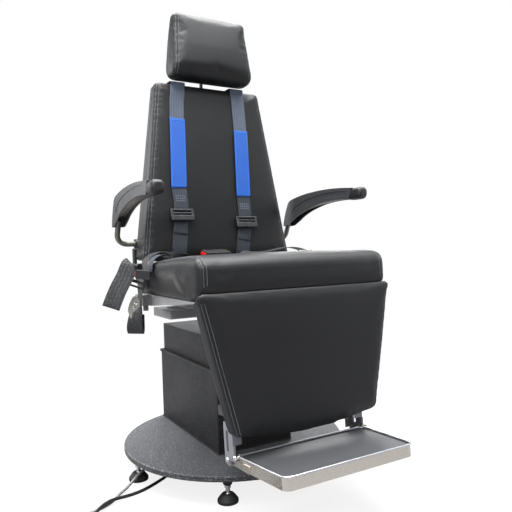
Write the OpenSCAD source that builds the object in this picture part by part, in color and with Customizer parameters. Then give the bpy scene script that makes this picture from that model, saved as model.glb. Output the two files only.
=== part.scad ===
/* [Base plate] */
// Radius of the round base plate
disc_r = 350; // [345:1:370]
// Thickness of the base plate
disc_t = 17; // [12:0.5:22]
// Free height under the base plate
foot_h = 63; // [55:1:75]
// Distance of each levelling foot from the turning axis
foot_pitch_r = 322; // [310:1:325]
// Radius of a foot pad
pad_r = 29; // [25:0.5:32]
// Number of levelling feet
foot_count = 6; // [4:1:8]

/* [Casing] */
// Half width of the lower casing
casing_half_w = 127; // [122:1:135]
// Front wall of the lower casing, ahead of the axis
casing_front = 157; // [150:1:170]
// Back wall of the lower casing, behind the axis
casing_back = 318; // [300:1:320]
// Height of the lower casing
casing_h = 246; // [236:1:256]
// Sheet thickness of both casings
casing_wall = 2; // [1.5:0.1:3]
// Inset of the upper casing from the lower one
casing_step = 8; // [6:0.5:9]
// Height of the upper casing that shows at rest
casing_rise = 94; // [88:1:104]

/* [Lift and drive] */
// Half width of the square outer column
column_half = 75; // [72:1:80]
// Wall of both columns
column_wall = 5; // [4:0.5:6]
// Travel of the lift below rest
lift_down = 60; // [30:1:62]
// Travel of the lift above rest
lift_up = 70; // [30:1:72]
// Outer radius of the motor housing
motor_r = 92; // [88:1:96]
// Radius of the turntable spindle
spindle_r = 40; // [36:0.5:42]

/* [Seat] */
// Half width of the seat cushion
seat_half_w = 290; // [286:1:294]
// Depth of the seat cushion
seat_depth = 435; // [428:1:440]
// Thickness of the seat cushion
seat_t = 112; // [106:1:118]
// Half width of the frame under the seat
frame_half_w = 232; // [225:1:240]
// Depth of the frame under the seat
frame_depth = 152; // [146:1:160]
// Height of the frame tubes
frame_t = 26; // [22:1:28]

/* [Backrest] */
// Half width of the backrest at its top
back_top_half_w = 193; // [185:1:200]
// Half width of the backrest at its foot
back_foot_half_w = 271; // [268:1:274]
// Height of the backrest cushion
back_h = 591; // [580:1:600]
// Thickness of the backrest cushion at its foot
back_foot_t = 80; // [72:1:84]
// Thickness of the backrest cushion at its top
back_top_t = 31; // [28:1:36]
// Recline of the backrest face from upright at rest
back_lean = 5.8; // [4:0.1:8]

/* [Headrest] */
// Half width of the headrest at its thick lower end
head_foot_half_w = 147; // [138:1:152]
// Half width of the headrest at its top
head_top_half_w = 131; // [122:1:136]
// Height of the headrest
head_h = 219; // [205:1:230]
// Thickness of the headrest at its lower end
head_t = 92; // [84:1:98]

/* [Armrests] */
// Length of an armrest
arm_len = 428; // [415:1:440]
// Width of an armrest
arm_w = 38; // [34:1:42]
// Distance of an armrest from the middle of the chair
arm_x = 323; // [318:1:330]
// Radius of the armrest tube
arm_tube_r = 9; // [8:0.5:10]

/* [Legrest and footrest] */
// Half width of the legrest pad at its top
leg_top_half_w = 299; // [292:1:300]
// Half width of the legrest pad at its foot
leg_foot_half_w = 218; // [214:1:224]
// Height of the legrest pad
leg_h = 350; // [340:1:360]
// Thickness of the legrest pad
leg_t = 44; // [40:1:46]
// Half width of the footrest tray at its back
tray_back_half_w = 197; // [190:1:198]
// Half width of the footrest tray at its front
tray_front_half_w = 188; // [180:1:190]
// Depth of the footrest tray
tray_depth = 205; // [192:1:216]
// Height of the tray's rim
tray_rim = 30; // [26:1:34]

/* [Harness] */
// Width of the webbing
web_w = 50; // [45:1:52]
// Thickness of the webbing
web_t = 1.8; // [1.4:0.1:2.4]

/* [Cables] */
// Radius of the grey cable
grey_r = 4; // [3.5:0.1:4.5]
// Radius of the black cable
black_r = 4.5; // [4:0.1:4.8]

/* [Hidden] */
$fn = 48;
// Running clearance between pieces that turn or slide in each other, and gap of soft pieces
fit = 0.05;
slip = 0.3;
over = 1;

// Heights, from the floor up
disc_top = foot_h + disc_t;
casing_top = disc_top + casing_h;
upper_top = casing_top + casing_rise;
hub_rise = 60;
flange_t = 10;
frame_z = upper_top + hub_rise;
frame_top = frame_z + frame_t;
tray_rise = 51;
seat_base = frame_top + tray_rise;

// Base plate and feet
groove_d = 1.6;
rim_round = 3.5;
stem_r = 6;
boss_r = 13.5;
boss_h = 16;
nut_r = 9.5;
nut_h = 8;
pad_h = 24;
ball_r = 8;
gland_hole_r = 16;
gland_y = 235;

// Casings
casing_corner = 5;
lip_out = 5;
lip_h = 8;
upper_skirt = disc_top + lift_down + lip_out;

// Lift column and actuator
column_gap = 0.3;
inner_half = column_half - column_wall - column_gap;
plate_half = 95;
plate_t = 10;
base_flange_t = 8;
actuator_r = 24;
rod_r = 12;
gear_r = 20;
gear_gap = 16;

// Drive electronics
box_w = 160;
box_d = 50;
box_back = 45;
box_foot = 12;
fin_d = 18;
fin_count = 12;

// Motor and bearing
motor_h = 86;
motor_top = upper_top - casing_wall;
motor_foot = motor_top - motor_h;
motor_wall = 10;
ball_bearing_r = 7.5;
race_r = 60;
race_h = 20;
stator_h = 44;
rotor_gap = 2;
slot_w = 4;
slot_d = 10;
race_rim = 4;
race_count = 20;
race_top = motor_top - lip_out;

// Under-seat frame and tray
frame_shift = 5;
frame_front = frame_depth / 2 - frame_shift;
rail_short = 60;
frame_tube_w = 30;
plate_side = 190;
rail_x = 150;
bolt_r = 5;
sheet_t = 3;
side_inset = 9;
side_x = seat_half_w - side_inset;
tray_front = 372;
side_low = 34;
side_low_front = 5;
side_back = 14;
side_step = 45;
guide_l = 40;
guide_first = 16;
guide_second = 130;
block_w = 24;
block_depth = 75;
block_h = 31;

// Seat cushion
seat_back = 5;
seat_round = 18;
seat_edge = 17;
seat_crown = 3;

// Recline pivot
pivot_y = 16;
pivot_drop = 17;
pivot_z = seat_base - pivot_drop;
pivot_r = 8;
arm_plate_t = 8;
arm_plate_x = 262;
plate_low = 36;
plate_high = 26;
plate_step = 6;
pin_in = 20;

// Backrest, in the upright frame of its foot
back_foot_y = 40;
back_foot_rise = 95;
back_foot_z = seat_base + back_foot_rise;
board_lean = 1.8;
board_t = 20;
board_inset = 4;
upright_w = 30;
upright_d = 20;
upright_x = 150;
back_round = 13;
back_edge = 13;
back_crown = 6;
back_arc = 3;
socket_r = 16;
arm_pivot_rise = 60;
arm_pivot_z = back_foot_z + arm_pivot_rise;

// Headrest
head_gap = 9;
head_z = back_foot_z + back_h + head_gap;
head_y = 94;
head_round = 20;
head_edge = 20;
head_crown = 4;
post_r = 6;
post_gap = 5;
post_y = back_foot_y + back_foot_t + board_t + post_r + post_gap;
plate_w = 90;

// Armrests
arm_rise = 26;
arm_bend = 35;
arm_splay = 1.5;
arm_back = 135;
arm_h = 113;
arm_foot_rise = 50;
arm_foot_z = arm_pivot_z + arm_foot_rise;
arm_wall = 4;
arm_tube_rise = 84;
arm_recess = 1.3;
bar_t = 3;
grip_share = 0.10584;
grip_h = 37.5;
grip_edge = 12;
skew_share = 0.03505;
socket_l = 60;

// Legrest
leg_lean = 3.9;
leg_y = 434;
leg_top_rise = 21;
leg_z = seat_base + leg_top_rise;
leg_round = 16;
leg_edge = 12;
leg_crown = 5;
leg_bow = 20;
leg_bevel = 18;
leg_board_t = 6;
leg_hinge_y = 377;
leg_hinge_rise = 3;
leg_hinge_z = seat_base + leg_hinge_rise;
leg_hinge_r = 7;
leg_pin_r = 3.5;
barrel_w = 12;
barrel_gap = 2;
slide_x = 110;
slide_w = 20;
slide_h = 14;
slide_low = 20;

// Footrest, in the legrest's frame
bracket_x = 200;
bracket_t = 6;
bracket_y = 52;
bracket_w = 24;
tray_back = 46;
tray_drop = 51;
tray_z = leg_h + tray_drop;
bracket_reach = 54;
leg_inset = 14;
bracket_bar = 20;
bracket_rear = 12;
tray_corner = 20;
tray_sheet = 2;
mat_t = 4;
mat_drop = 3;
tray_bolt_r = 4;
bolt_first = 43;
bolt_second = 86;
bolt_drop = 3;
bolt_step = 17;
dome_r = 7;
tray_arm_t = 5;

// Harness
strap_lift = 1.2;
strap_back = 5;
strap_top = 4;
strap_side = 15;
sleeve_w = web_w + 3;
sleeve_t = 2.6;
slide_bar_w = 78;
slide_bar_h = 26;
slide_bar_t = 7;
buckle_l = 84;
buckle_w = 50;
buckle_t = 20;
button_l = 20;
button_w = 34;
button_t = 12;
button_travel = 4;

// Cables
grey_points = [[-70, 96, 40], [-82, 96, 40], [-124, 90, 38], [-170, 72, 37], [-215, 44, 37], [-262, 10, 34],
    [-300, -7, 31], [-331, -27, 25], [-356, -43, 14], [-376, -57, 7], [-401, -77, 4], [-429, -110, 4],
    [-459, -132, 4], [-496, -146, 4], [-540, -149, 4], [-584, -149, 4]];
black_points = [[-70, 64, 40], [-82, 64, 40], [-122, 56, 36], [-164, 34, 27], [-206, -2, 14], [-244, -32, 4.5],
    [-275, -55, 4.5], [-302, -72, 4.5], [-335, -90, 4.5], [-373, -101, 4.5], [-411, -113, 9],
    [-442, -127, 13.5], [-476, -152, 12], [-506, -190, 6], [-524, -238, 4.5], [-533, -282, 4.5]];
grey_middle = [-597, -222, 0];
black_middle = [-470, -315, 0];
grey_start = 124;
black_start = 180;
cord_sides = 8;
cord_steps = 2;
coil_rings = 24;
coil_sides = 6;
grey_turns = 6.25;
black_turns = 6.25;
grey_coil_r = 44;
black_coil_r = 50;
gland_r = 11;
gland_l = 34;
entry_x = -70;
entry_h = 40;
relief_l = 56;
plug_l = 40;
mains_pin_r = 2.4;
mains_pin_l = 19;
pin_gap = 19;

// Shapes that several pieces share

// A value between a and b
function mix(a, b, t) = a + (b - a) * t;
// Soft-cornered section of a pad: half sizes a and b, corner radius r, and crowns on its two broad faces
function quarter(x, y, r, a) = [for (k = [0 : 3]) [x + r * cos(a + 30 * k), y + r * sin(a + 30 * k)]];
function pad_section(a, b, r, low, high, m = 6) = let (p = a - r, q = b - r) concat(
    quarter(p, q, r, 0), [for (k = [1 : m - 1]) let (t = 1 - 2 * k / m) [t * p, b + high * (1 - t * t)]],
    quarter(-p, q, r, 90), quarter(-p, -q, r, 180),
    [for (k = [1 : m - 1]) let (t = 2 * k / m - 1) [t * p, -b - low * (1 - t * t)]],
    quarter(p, -q, r, 270));
// A smooth curve through points, n steps between each pair
function spline(p, n) = [for (i = [0 : len(p) - 2], k = [0 : n - 1])
    let (t = k / n, a = p[max(i - 1, 0)], b = p[i], c = p[i + 1], d = p[min(i + 2, len(p) - 1)])
    (2 * b + t * (c - a) + t * t * (2 * a - 5 * b + 4 * c - d) + t * t * t * (3 * b - a - 3 * c + d)) / 2];
function curve(p, n) = concat(spline(p, n), [p[len(p) - 1]]);
function unit(v) = v / norm(v);
// Direction of a path at point i
function along(p, i) = unit(p[min(i + 1, len(p) - 1)] - p[max(i - 1, 0)]);
// Corners of an outline turned into arcs of radius r
function rounded(p, r, n = 6) = [for (i = [0 : len(p) - 1])
    let (b = p[i], u = unit(p[(i + len(p) - 1) % len(p)] - b), v = unit(p[(i + 1) % len(p)] - b),
        half = acos(u * v) / 2, m = unit(u + v), c = b + m * r / sin(half),
        turn = 90 - half, s = sign(u[0] * v[1] - u[1] * v[0]))
    for (k = [0 : n]) let (a = s * mix(turn, -turn, k / n), w = -m)
        c + r * [w[0] * cos(a) - w[1] * sin(a), w[0] * sin(a) + w[1] * cos(a)]];
function box2(x0, x1, y0, y1) = [[x0, y0], [x1, y0], [x1, y1], [x0, y1]];

module both_sides() {
    children();
    mirror([1, 0, 0]) children();
}

// A Y-Z outline drawn out along X from x0 to x1
module side_plate(x0, x1) {
    translate([x0, 0, 0]) rotate([90, 0, 90]) linear_extrude(x1 - x0) children();
}

// An X-Z outline drawn out towards +Y by t
module front_plate(t) {
    rotate([90, 0, 0]) mirror([0, 0, 1]) linear_extrude(t) children();
}

// A skin over rings of points that all have the same count
module loft(rings) {
    n = len(rings[0]);
    m = len(rings);
    polyhedron(points = [for (r = rings) each r],
        faces = concat(
            [for (j = [0 : m - 2], i = [0 : n - 1]) [j * n + i, (j + 1) * n + i, j * n + (i + 1) % n]],
            [for (j = [0 : m - 2], i = [0 : n - 1])
                [j * n + (i + 1) % n, (j + 1) * n + i, (j + 1) * n + (i + 1) % n]],
            [for (i = [1 : n - 2]) [0, i, i + 1]],
            [for (i = [1 : n - 2]) [(m - 1) * n, (m - 1) * n + i + 1, (m - 1) * n + i]]));
}

// A flat band of width w and thickness t that follows points p, with its width along directions d
module band(p, d, w, t) {
    loft([for (i = [0 : len(p) - 1])
        let (f = along(p, i), side = unit(d[i] - f * (d[i] * f)), n = cross(f, side))
        [p[i] - side * w / 2 - n * t / 2, p[i] + side * w / 2 - n * t / 2,
            p[i] + side * w / 2 + n * t / 2, p[i] - side * w / 2 + n * t / 2]]);
}

// A round tube of radius r that follows points p
module cord(p, r, sides, up = [0, 0, 1]) {
    loft([for (i = [0 : len(p) - 1])
        let (f = along(p, i), u = unit(cross(up, f)), v = cross(f, u))
        [for (k = [0 : sides - 1]) p[i] - r * (cos(360 * k / sides) * u + sin(360 * k / sides) * v)]]);
}

// Piled loops that spiral in, then out again one layer higher, from the direction turned to by start
function coil_point(t, turns, pile_r, r, start) = let (gap = 2 * r + 2 * slip, half = turns / 2,
    up = min(max(t - half + 0.25, 0) * 2, 1), q = pile_r + gap * (half / 2 - min(t, turns - t)))
    [q * cos(360 * t + start), q * sin(360 * t + start), r + up * gap];
function coil_path(middle, turns, pile_r, r, start) = [for (k = [0 : turns * coil_rings])
    middle + coil_point(k / coil_rings, turns, pile_r, r, start)];
// Least gap of a coil to itself, and the length of a path
function least_gap(p, r) = min([for (i = [0 : len(p) - 1], j = [i + coil_rings / 2 : 1 : len(p) - 1])
    norm(p[i] - p[j])]) - 2 * r;
function path_length(p, i = 1) = i >= len(p) ? 0 : norm(p[i] - p[i - 1]) + path_length(p, i + 1);
// A free cable that runs straight into its coil at its end
function into_coil(points, coil, r) = let (d = unit(coil[1] - coil[0]))
    concat(curve(concat(points, [coil[0] - 3 * r * d]), cord_steps), [coil[0]]);

// Base plate and feet

module at_feet() {
    for (i = [0 : foot_count - 1]) rotate(180 + 360 * i / foot_count)
        translate([foot_pitch_r, 0, 0]) children();
}

module base_disc() {
    color("#303134") difference() {
        translate([0, 0, foot_h]) rotate_extrude($fn = 96) difference() {
            union() {
                square([disc_r - rim_round, disc_t]);
                translate([0, rim_round]) square([disc_r, disc_t - 2 * rim_round]);
                for (z = [rim_round, disc_t - rim_round])
                    translate([disc_r - rim_round, z]) circle(rim_round);
            }
            translate([disc_r - groove_d, disc_t / 2]) square([2 * groove_d, groove_d]);
        }
        at_feet() translate([0, 0, foot_h - over]) cylinder(r = stem_r + fit, h = disc_t + 2 * over);
        translate([0, gland_y, foot_h - over]) cylinder(r = gland_hole_r, h = disc_t + 2 * over);
    }
}

module foot_bosses() {
    color("#1b1c1e") at_feet() translate([0, 0, foot_h - boss_h]) difference() {
        union() {
            translate([0, 0, boss_h / 3]) cylinder(r = boss_r, h = boss_h * 2 / 3);
            cylinder(r1 = boss_r * 0.85, r2 = boss_r, h = boss_h / 3);
        }
        translate([0, 0, -over]) cylinder(r = stem_r + fit, h = boss_h + 2 * over);
    }
}

module foot_stems() {
    color("#b9bcc0") at_feet() {
        translate([0, 0, pad_h - ball_r / 2]) cylinder(r = stem_r, h = disc_top - pad_h + ball_r / 2 - over);
        translate([0, 0, pad_h - ball_r / 2]) sphere(ball_r);
        translate([0, 0, foot_h - boss_h - nut_h]) cylinder(r = nut_r, h = nut_h - fit, $fn = 6);
    }
}

// Section of a foot pad, flat and straight-walled where it stands
pad_shares = [[0, 0], [1, 0], [1, 0.3], [0.97, 0.37], [0.9, 0.48], [0.75, 0.72], [0.6, 0.92],
    [0.54, 0.97], [0.46, 1], [0, 1]];

module foot_pads() {
    color("#151517") at_feet() difference() {
        rotate_extrude() difference() {
            polygon([for (q = pad_shares) [pad_r * q[0], pad_h * q[1]]]);
            square([ball_r * 0.6, pad_h * 0.1]);
        }
        translate([0, 0, pad_h - ball_r / 2]) sphere(ball_r + fit);
    }
}

// Casings

module wall_ring(inset, grow, h) {
    x = casing_half_w - inset + grow;
    linear_extrude(h) polygon(rounded(box2(-x, x, -casing_front + inset - grow,
        casing_back - inset + grow), casing_corner + grow));
}

module lower_casing() {
    color("#1e1f21") translate([0, 0, disc_top]) difference() {
        union() {
            wall_ring(0, 0, casing_h);
            translate([0, 0, casing_h - lip_h]) wall_ring(0, lip_out, lip_h);
            wall_ring(0, casing_wall, 2 * casing_wall);
        }
        translate([0, 0, -over]) wall_ring(casing_wall, 0, casing_h + 2 * over);
    }
}

module upper_casing() {
    color("#232426") difference() {
        translate([0, 0, upper_skirt]) wall_ring(casing_step, 0, upper_top - upper_skirt);
        translate([0, 0, upper_skirt - casing_wall])
            wall_ring(casing_step + casing_wall, 0, upper_top - upper_skirt);
        cylinder(r = spindle_r + sheet_t, h = upper_top + over);
    }
}

// Lift

module square_tube(half, wall, h) {
    linear_extrude(h) difference() {
        polygon(rounded(box2(-half, half, -half, half), wall));
        square(2 * (half - wall), center = true);
    }
}

module outer_column() {
    color("#8d9196") {
        translate([0, 0, disc_top]) square_tube(column_half, column_wall, motor_foot - plate_t
            - lift_down - column_wall - disc_top);
        translate([0, 0, disc_top]) square_tube(column_half + 4 * base_flange_t,
            4 * base_flange_t + column_wall, base_flange_t);
    }
}

module inner_column() {
    color("#9ca0a5") {
        translate([0, 0, upper_skirt]) square_tube(inner_half, column_wall,
            motor_foot - plate_t - upper_skirt);
        translate([-plate_half, -plate_half, motor_foot - plate_t]) difference() {
            cube([2 * plate_half, 2 * plate_half, plate_t]);
            for (x = [plate_t, 2 * plate_half - plate_t], y = [plate_t, 2 * plate_half - plate_t])
                translate([x, y, -over]) cylinder(r = bolt_r, h = plate_t + 2 * over);
        }
    }
}

module lift_actuator() {
    tube_h = motor_foot - plate_t - lift_down - 3 * column_wall - disc_top;
    color("#4a4d52") {
        translate([0, 0, disc_top]) difference() {
            cylinder(r = actuator_r, h = tube_h);
            translate([0, 0, column_wall]) cylinder(r = rod_r + fit, h = tube_h);
        }
        translate([0, actuator_r + gear_gap, disc_top]) cylinder(r = gear_r, h = tube_h * 0.6);
        translate([-gear_gap / 2, actuator_r, disc_top]) cube([gear_gap, gear_gap, tube_h * 0.3]);
    }
}

module actuator_rod() {
    color("#c9ccd0") translate([0, 0, upper_skirt]) cylinder(r = rod_r, h = motor_foot - plate_t - upper_skirt);
}

module drive_electronics() {
    low = casing_h * 0.08;
    h = casing_h * 0.42;
    pitch = box_w / fin_count;
    color("#777b80") translate([-box_w / 2, gland_y - box_back, disc_top]) {
        translate([0, 0, low]) cube([box_w, box_d, h]);
        for (i = [0 : fin_count - 1]) translate([(i + 0.25) * pitch, box_d, low])
            cube([pitch * 0.3, fin_d, h]);
        for (x = [0, box_w - box_foot]) translate([x, 0, 0]) cube([box_foot, box_d, low]);
    }
}

// Motor, bearing and spindle

module motor_housing() {
    color("#3a3c40") rotate_extrude($fn = 96) polygon([[spindle_r + motor_wall, motor_foot],
        [motor_r, motor_foot], [motor_r, motor_top], [motor_r - motor_wall, motor_top],
        [motor_r - motor_wall, motor_foot + motor_wall], [spindle_r + motor_wall, motor_foot + motor_wall]]);
}

module motor_stator() {
    stator_z = motor_foot + motor_wall + slot_w;
    color("#8a4b2a") difference() {
        translate([0, 0, stator_z]) cylinder(r = motor_r - motor_wall - fit, h = stator_h);
        translate([0, 0, stator_z - over]) cylinder(r = race_r + rotor_gap, h = stator_h + 2 * over);
        for (i = [0 : 23]) rotate(15 * i) translate([race_r, -slot_w / 2, stator_z - over])
            cube([slot_d, slot_w, stator_h + 2 * over]);
    }
}

module motor_rotor() {
    color("#5b5f66") translate([0, 0, motor_foot + motor_wall + slot_w + rotor_gap]) difference() {
        cylinder(r = race_r + rotor_gap / 2, h = stator_h - 2 * rotor_gap);
        translate([0, 0, -over]) cylinder(r = spindle_r + fit, h = stator_h + 2 * over);
    }
}

module race(r0, r1) {
    translate([0, 0, race_top - race_h]) rotate_extrude($fn = 96) difference() {
        translate([r0, 0]) square([r1 - r0, race_h]);
        translate([race_r, race_h / 2]) circle(ball_bearing_r + fit);
    }
}

module bearing_outer_ring() { color("#c5c8cc") race(race_r + race_rim, motor_r - motor_wall - fit); }
module bearing_inner_ring() { color("#cfd2d6") race(spindle_r + fit, race_r - race_rim); }

module bearing_balls() {
    color("#e2e4e7") for (i = [0 : race_count - 1]) rotate(360 * i / race_count)
        translate([race_r, 0, race_top - race_h / 2]) sphere(ball_bearing_r);
}

module spindle() {
    foot_z = motor_foot + sheet_t;
    color("#a8abb0") difference() {
        union() {
            translate([0, 0, foot_z]) cylinder(r = spindle_r, h = frame_z - foot_z);
            translate([0, 0, frame_z - flange_t]) cylinder(r = motor_r, h = flange_t);
        }
        translate([0, 0, foot_z - over]) cylinder(r = spindle_r / 2, h = frame_z - foot_z + 2 * over);
        for (i = [0 : 5]) rotate(60 * i) translate([motor_r - flange_t, 0, frame_z - flange_t - over])
            cylinder(r = bolt_r, h = flange_t + 2 * over);
    }
}

// Frame and tray under the seat

module carrier_frame() {
    inner_w = frame_half_w - frame_tube_w;
    plate_x = plate_side / 2;
    y0 = -frame_front;
    y1 = frame_depth - frame_front;
    rail_front = tray_front - rail_short;
    color("#b7b5b2") {
        difference() {
            translate([0, 0, frame_z]) linear_extrude(frame_t) difference() {
                polygon(rounded(box2(-frame_half_w, frame_half_w, y0, y1), casing_corner));
                for (s = [-1, 1]) polygon(box2(s * plate_x, s * inner_w, y0 + frame_tube_w, y1 - frame_tube_w));
            }
            translate([0, 0, frame_z + flange_t]) linear_extrude(frame_t)
                polygon(box2(-plate_x + frame_tube_w, plate_x - frame_tube_w, y0 + frame_tube_w,
                    y1 - frame_tube_w));
        }
        both_sides() side_plate(rail_x - frame_tube_w / 2, rail_x + frame_tube_w / 2)
            polygon([[y1, frame_top], [y0, frame_top], [-rail_front, frame_top + frame_t],
                [-rail_front, seat_base - sheet_t], [0, seat_base - sheet_t], [y1, seat_base - frame_t]]);
    }
}

// The outline of one side of the tray, from its low back corner to its shallow front
function tray_side() = [[pivot_y + side_back, seat_base - side_low], [-side_step, seat_base - side_low],
    [-tray_front, seat_base - side_low_front], [-tray_front, seat_base], [0, seat_base],
    [pivot_y + side_back, seat_base - sheet_t]];

module slide_guide(x) {
    z = seat_base - sheet_t - slide_low;
    for (y = [guide_first, guide_second]) translate([x - slide_w, y - tray_front, z]) difference() {
        cube([2 * slide_w, guide_l, slide_low]);
        translate([slide_w / 2 - slip, -over, sheet_t - slip])
            cube([slide_w + 2 * slip, guide_l + 2 * over, slide_h + 2 * slip]);
    }
}

module seat_tray() {
    color("#a9a7a4") difference() {
        union() {
            both_sides() side_plate(side_x - sheet_t, side_x) polygon(tray_side());
            translate([-side_x + over, 2 * sheet_t - tray_front, seat_base - sheet_t])
                cube([2 * (side_x - over), tray_front - 2 * sheet_t, sheet_t]);
            both_sides() slide_guide(slide_x);
            both_sides() translate([side_x, pivot_y + side_back - block_depth, pivot_z - block_h / 2])
                cube([block_w, block_depth, block_h]);
            both_sides() translate([side_x + block_w / 2, pivot_y - 2 * block_w, pivot_z - block_h])
                cylinder(r = block_w / 3, h = block_h / 2 + over);
        }
        both_sides() translate([side_x - 4 * sheet_t, pivot_y, pivot_z]) rotate([0, 90, 0])
            cylinder(r = pivot_r + fit, h = block_w + 5 * sheet_t);
    }
}

// Seat cushion: its top rises from the back, and its front rolls down over the legrest, whose bevelled
// top edge slides out under the slope of its underside
seat_station_shares = [0, 0.008, 0.022, 0.045, 0.1, 0.2, 0.356, 0.5, 0.62, 0.72, 0.8, 0.87,
    0.92, 0.95, 0.972, 0.987, 0.996, 1];
seat_top_shares = [[0, 0.58], [0.008, 0.66], [0.022, 0.72], [0.045, 0.775], [0.1, 0.82], [0.2, 0.872],
    [0.356, 0.928], [0.62, 0.985], [0.8, 1], [0.87, 1], [0.92, 0.985], [0.95, 0.955], [0.972, 0.9],
    [0.987, 0.835], [0.996, 0.77], [1, 0.7]];
seat_low_shares = [[0, 0.12], [0.008, 0.05], [0.022, 0.01], [0.045, 0], [0.8, 0], [0.987, 0.255],
    [1, 0.29]];
seat_inset_shares = [[0, 1], [0.008, 0.55], [0.022, 0.24], [0.045, 0.05], [0.1, 0], [0.93, 0],
    [0.95, 0.06], [0.972, 0.24], [0.987, 0.5], [0.996, 0.78], [1, 1.1]];

module seat_cushion() {
    color("#222326") loft([for (w = seat_station_shares)
        let (top = lookup(w, seat_top_shares), low = lookup(w, seat_low_shares),
            inset = lookup(w, seat_inset_shares), b = seat_t * (top - low) / 2,
            z = seat_base + slip + seat_t * (top + low) / 2)
        [for (q = pad_section(seat_half_w - seat_round * inset, b, seat_edge, 0, seat_crown * (1 - inset / 2)))
            [q[0], seat_back - seat_depth * w, z + q[1]]]]);
}

// Backrest

// Front face of the cushion at height z, and its thickness there
function back_y(z) = back_foot_y + (z - back_foot_z) * tan(back_lean);
function back_t(z) = mix(back_foot_t, back_top_t, (z - back_foot_z) / back_h);
function back_w(z) = mix(back_foot_half_w, back_top_half_w, (z - back_foot_z) / back_h);
function board_y(z) = back_foot_y + back_foot_t + slip + (z - back_foot_z) * tan(board_lean);
// Face of the cushion at any place across it, with its crown
function face_y(x, z) = let (s = (z - back_foot_z) / back_h, t = x / (back_w(z) - back_edge))
    back_y(z) - back_crown * sin(180 * s) * (1 - t * t);

back_station_shares = [0, 0.006, 0.016, 0.032, 0.08, 0.16, 0.28, 0.4, 0.52, 0.64, 0.76, 0.86, 0.93,
    0.968, 0.984, 0.994, 1];
back_inset_shares = [[0, 1], [0.006, 0.5], [0.016, 0.16], [0.032, 0], [0.968, 0], [0.984, 0.16],
    [0.994, 0.5], [1, 1]];

module back_cushion() {
    color("#222326") loft([for (w = back_station_shares)
        let (z = back_foot_z + back_h * w, inset = lookup(w, back_inset_shares), a = back_w(z) - back_round * inset,
            b = back_t(z) / 2 - back_round * inset * 0.6, y = back_y(z) + back_t(z) / 2)
        [for (q = pad_section(a, b, min(back_edge, b * 0.8), back_crown * sin(180 * w), 0))
            [q[0], y + q[1], z + back_arc * pow(w, 6) * (1 - pow(q[0] / a, 2))]]]);
}

// The plane of the backrest's board
module on_board() {
    translate([0, board_y(back_foot_z), back_foot_z]) rotate([-board_lean, 0, 0]) children();
}

module back_frame() {
    bar_z = arm_pivot_z - back_foot_z - socket_r - upright_w / 2;
    foot_w = back_foot_half_w - board_inset;
    top_w = back_top_half_w - board_inset;
    tube_y = board_t + upright_d / 2;
    color("#2c2d30") {
        on_board() difference() {
            union() {
                front_plate(board_t) polygon(rounded([[-foot_w, board_inset], [foot_w, board_inset],
                    [top_w, back_h - board_inset], [-top_w, back_h - board_inset]], back_edge));
                for (x = [-upright_x, upright_x]) translate([x - upright_w / 2, board_t, bar_z - upright_w / 2])
                    cube([upright_w, upright_d, back_h * 0.78]);
                translate([-arm_plate_x, board_t, bar_z - upright_w / 2])
                    cube([2 * arm_plate_x, upright_d, upright_w]);
                translate([-upright_x, board_t, back_h * 0.8]) cube([2 * upright_x, upright_d, upright_w]);
                for (z = [back_h * 0.8 - upright_w / 2, back_h * 0.92]) translate([-upright_d, board_t, z])
                    cube([2 * upright_d, 2 * upright_d - slip, upright_w]);
                both_sides() translate([arm_plate_x - socket_l, 0, 0]) arm_socket();
            }
            translate([0, post_y - board_y(back_foot_z), back_h * 0.7]) cylinder(r = post_r + fit, h = back_h);
            both_sides() translate([arm_plate_x - socket_l - over, arm_socket_y(), arm_pivot_z - back_foot_z])
                rotate([0, 90, 0]) cylinder(r = arm_tube_r + fit, h = socket_l + 2 * over);
        }
        both_sides() difference() {
            side_plate(arm_plate_x, arm_plate_x + arm_plate_t) polygon(arm_outline());
            translate([arm_plate_x - over, pivot_y, pivot_z]) rotate([0, 90, 0])
                cylinder(r = pivot_r + fit, h = arm_plate_t + 2 * over);
        }
    }
}

// The armrest's socket, a stub of tube that sits on the backrest's lower cross bar
function arm_socket_y() = board_t + socket_r;
module arm_socket() {
    translate([0, arm_socket_y(), arm_pivot_z - back_foot_z]) rotate([0, 90, 0])
        cylinder(r = socket_r, h = socket_l);
    translate([0, board_t, arm_pivot_z - back_foot_z - socket_r - over]) cube([socket_l, upright_d, socket_r]);
}

// The plate that carries the backrest, from its pivot up to the lower cross bar
function arm_outline() = let (r = block_h / 2, y = board_y(arm_pivot_z) + board_t)
    rounded([[pivot_y - r, pivot_z - r], [pivot_y + r, pivot_z - r], [y + upright_d, back_foot_z - plate_low],
        [y + upright_d, arm_pivot_z - socket_r], [y, arm_pivot_z - socket_r], [y - plate_step, back_foot_z - plate_high],
        [pivot_y - r, pivot_z + r]], r * 0.4);

module recline_pins() {
    color("#c9ccd0") both_sides() translate([side_x - pin_in, pivot_y, pivot_z]) rotate([0, 90, 0]) {
        cylinder(r = pivot_r, h = pin_in + block_w);
        translate([0, 0, pin_in + block_w]) cylinder(r = pivot_r * 1.5, h = pivot_r * 0.6);
    }
}

// Headrest

head_station_shares = [0, 0.01, 0.03, 0.065, 0.12, 0.2, 0.3, 0.42, 0.56, 0.7, 0.84, 0.92, 0.96, 0.985, 1];
head_depth_shares = [[0, 0.5], [0.01, 0.62], [0.03, 0.76], [0.065, 0.88], [0.12, 0.96], [0.2, 1],
    [0.5, 0.83], [0.78, 0.62], [0.92, 0.52], [0.96, 0.47], [0.985, 0.4], [1, 0.3]];
head_inset_shares = [[0, 1], [0.01, 0.66], [0.03, 0.36], [0.065, 0.14], [0.12, 0], [0.92, 0],
    [0.96, 0.1], [0.985, 0.4], [1, 0.8]];

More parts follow.
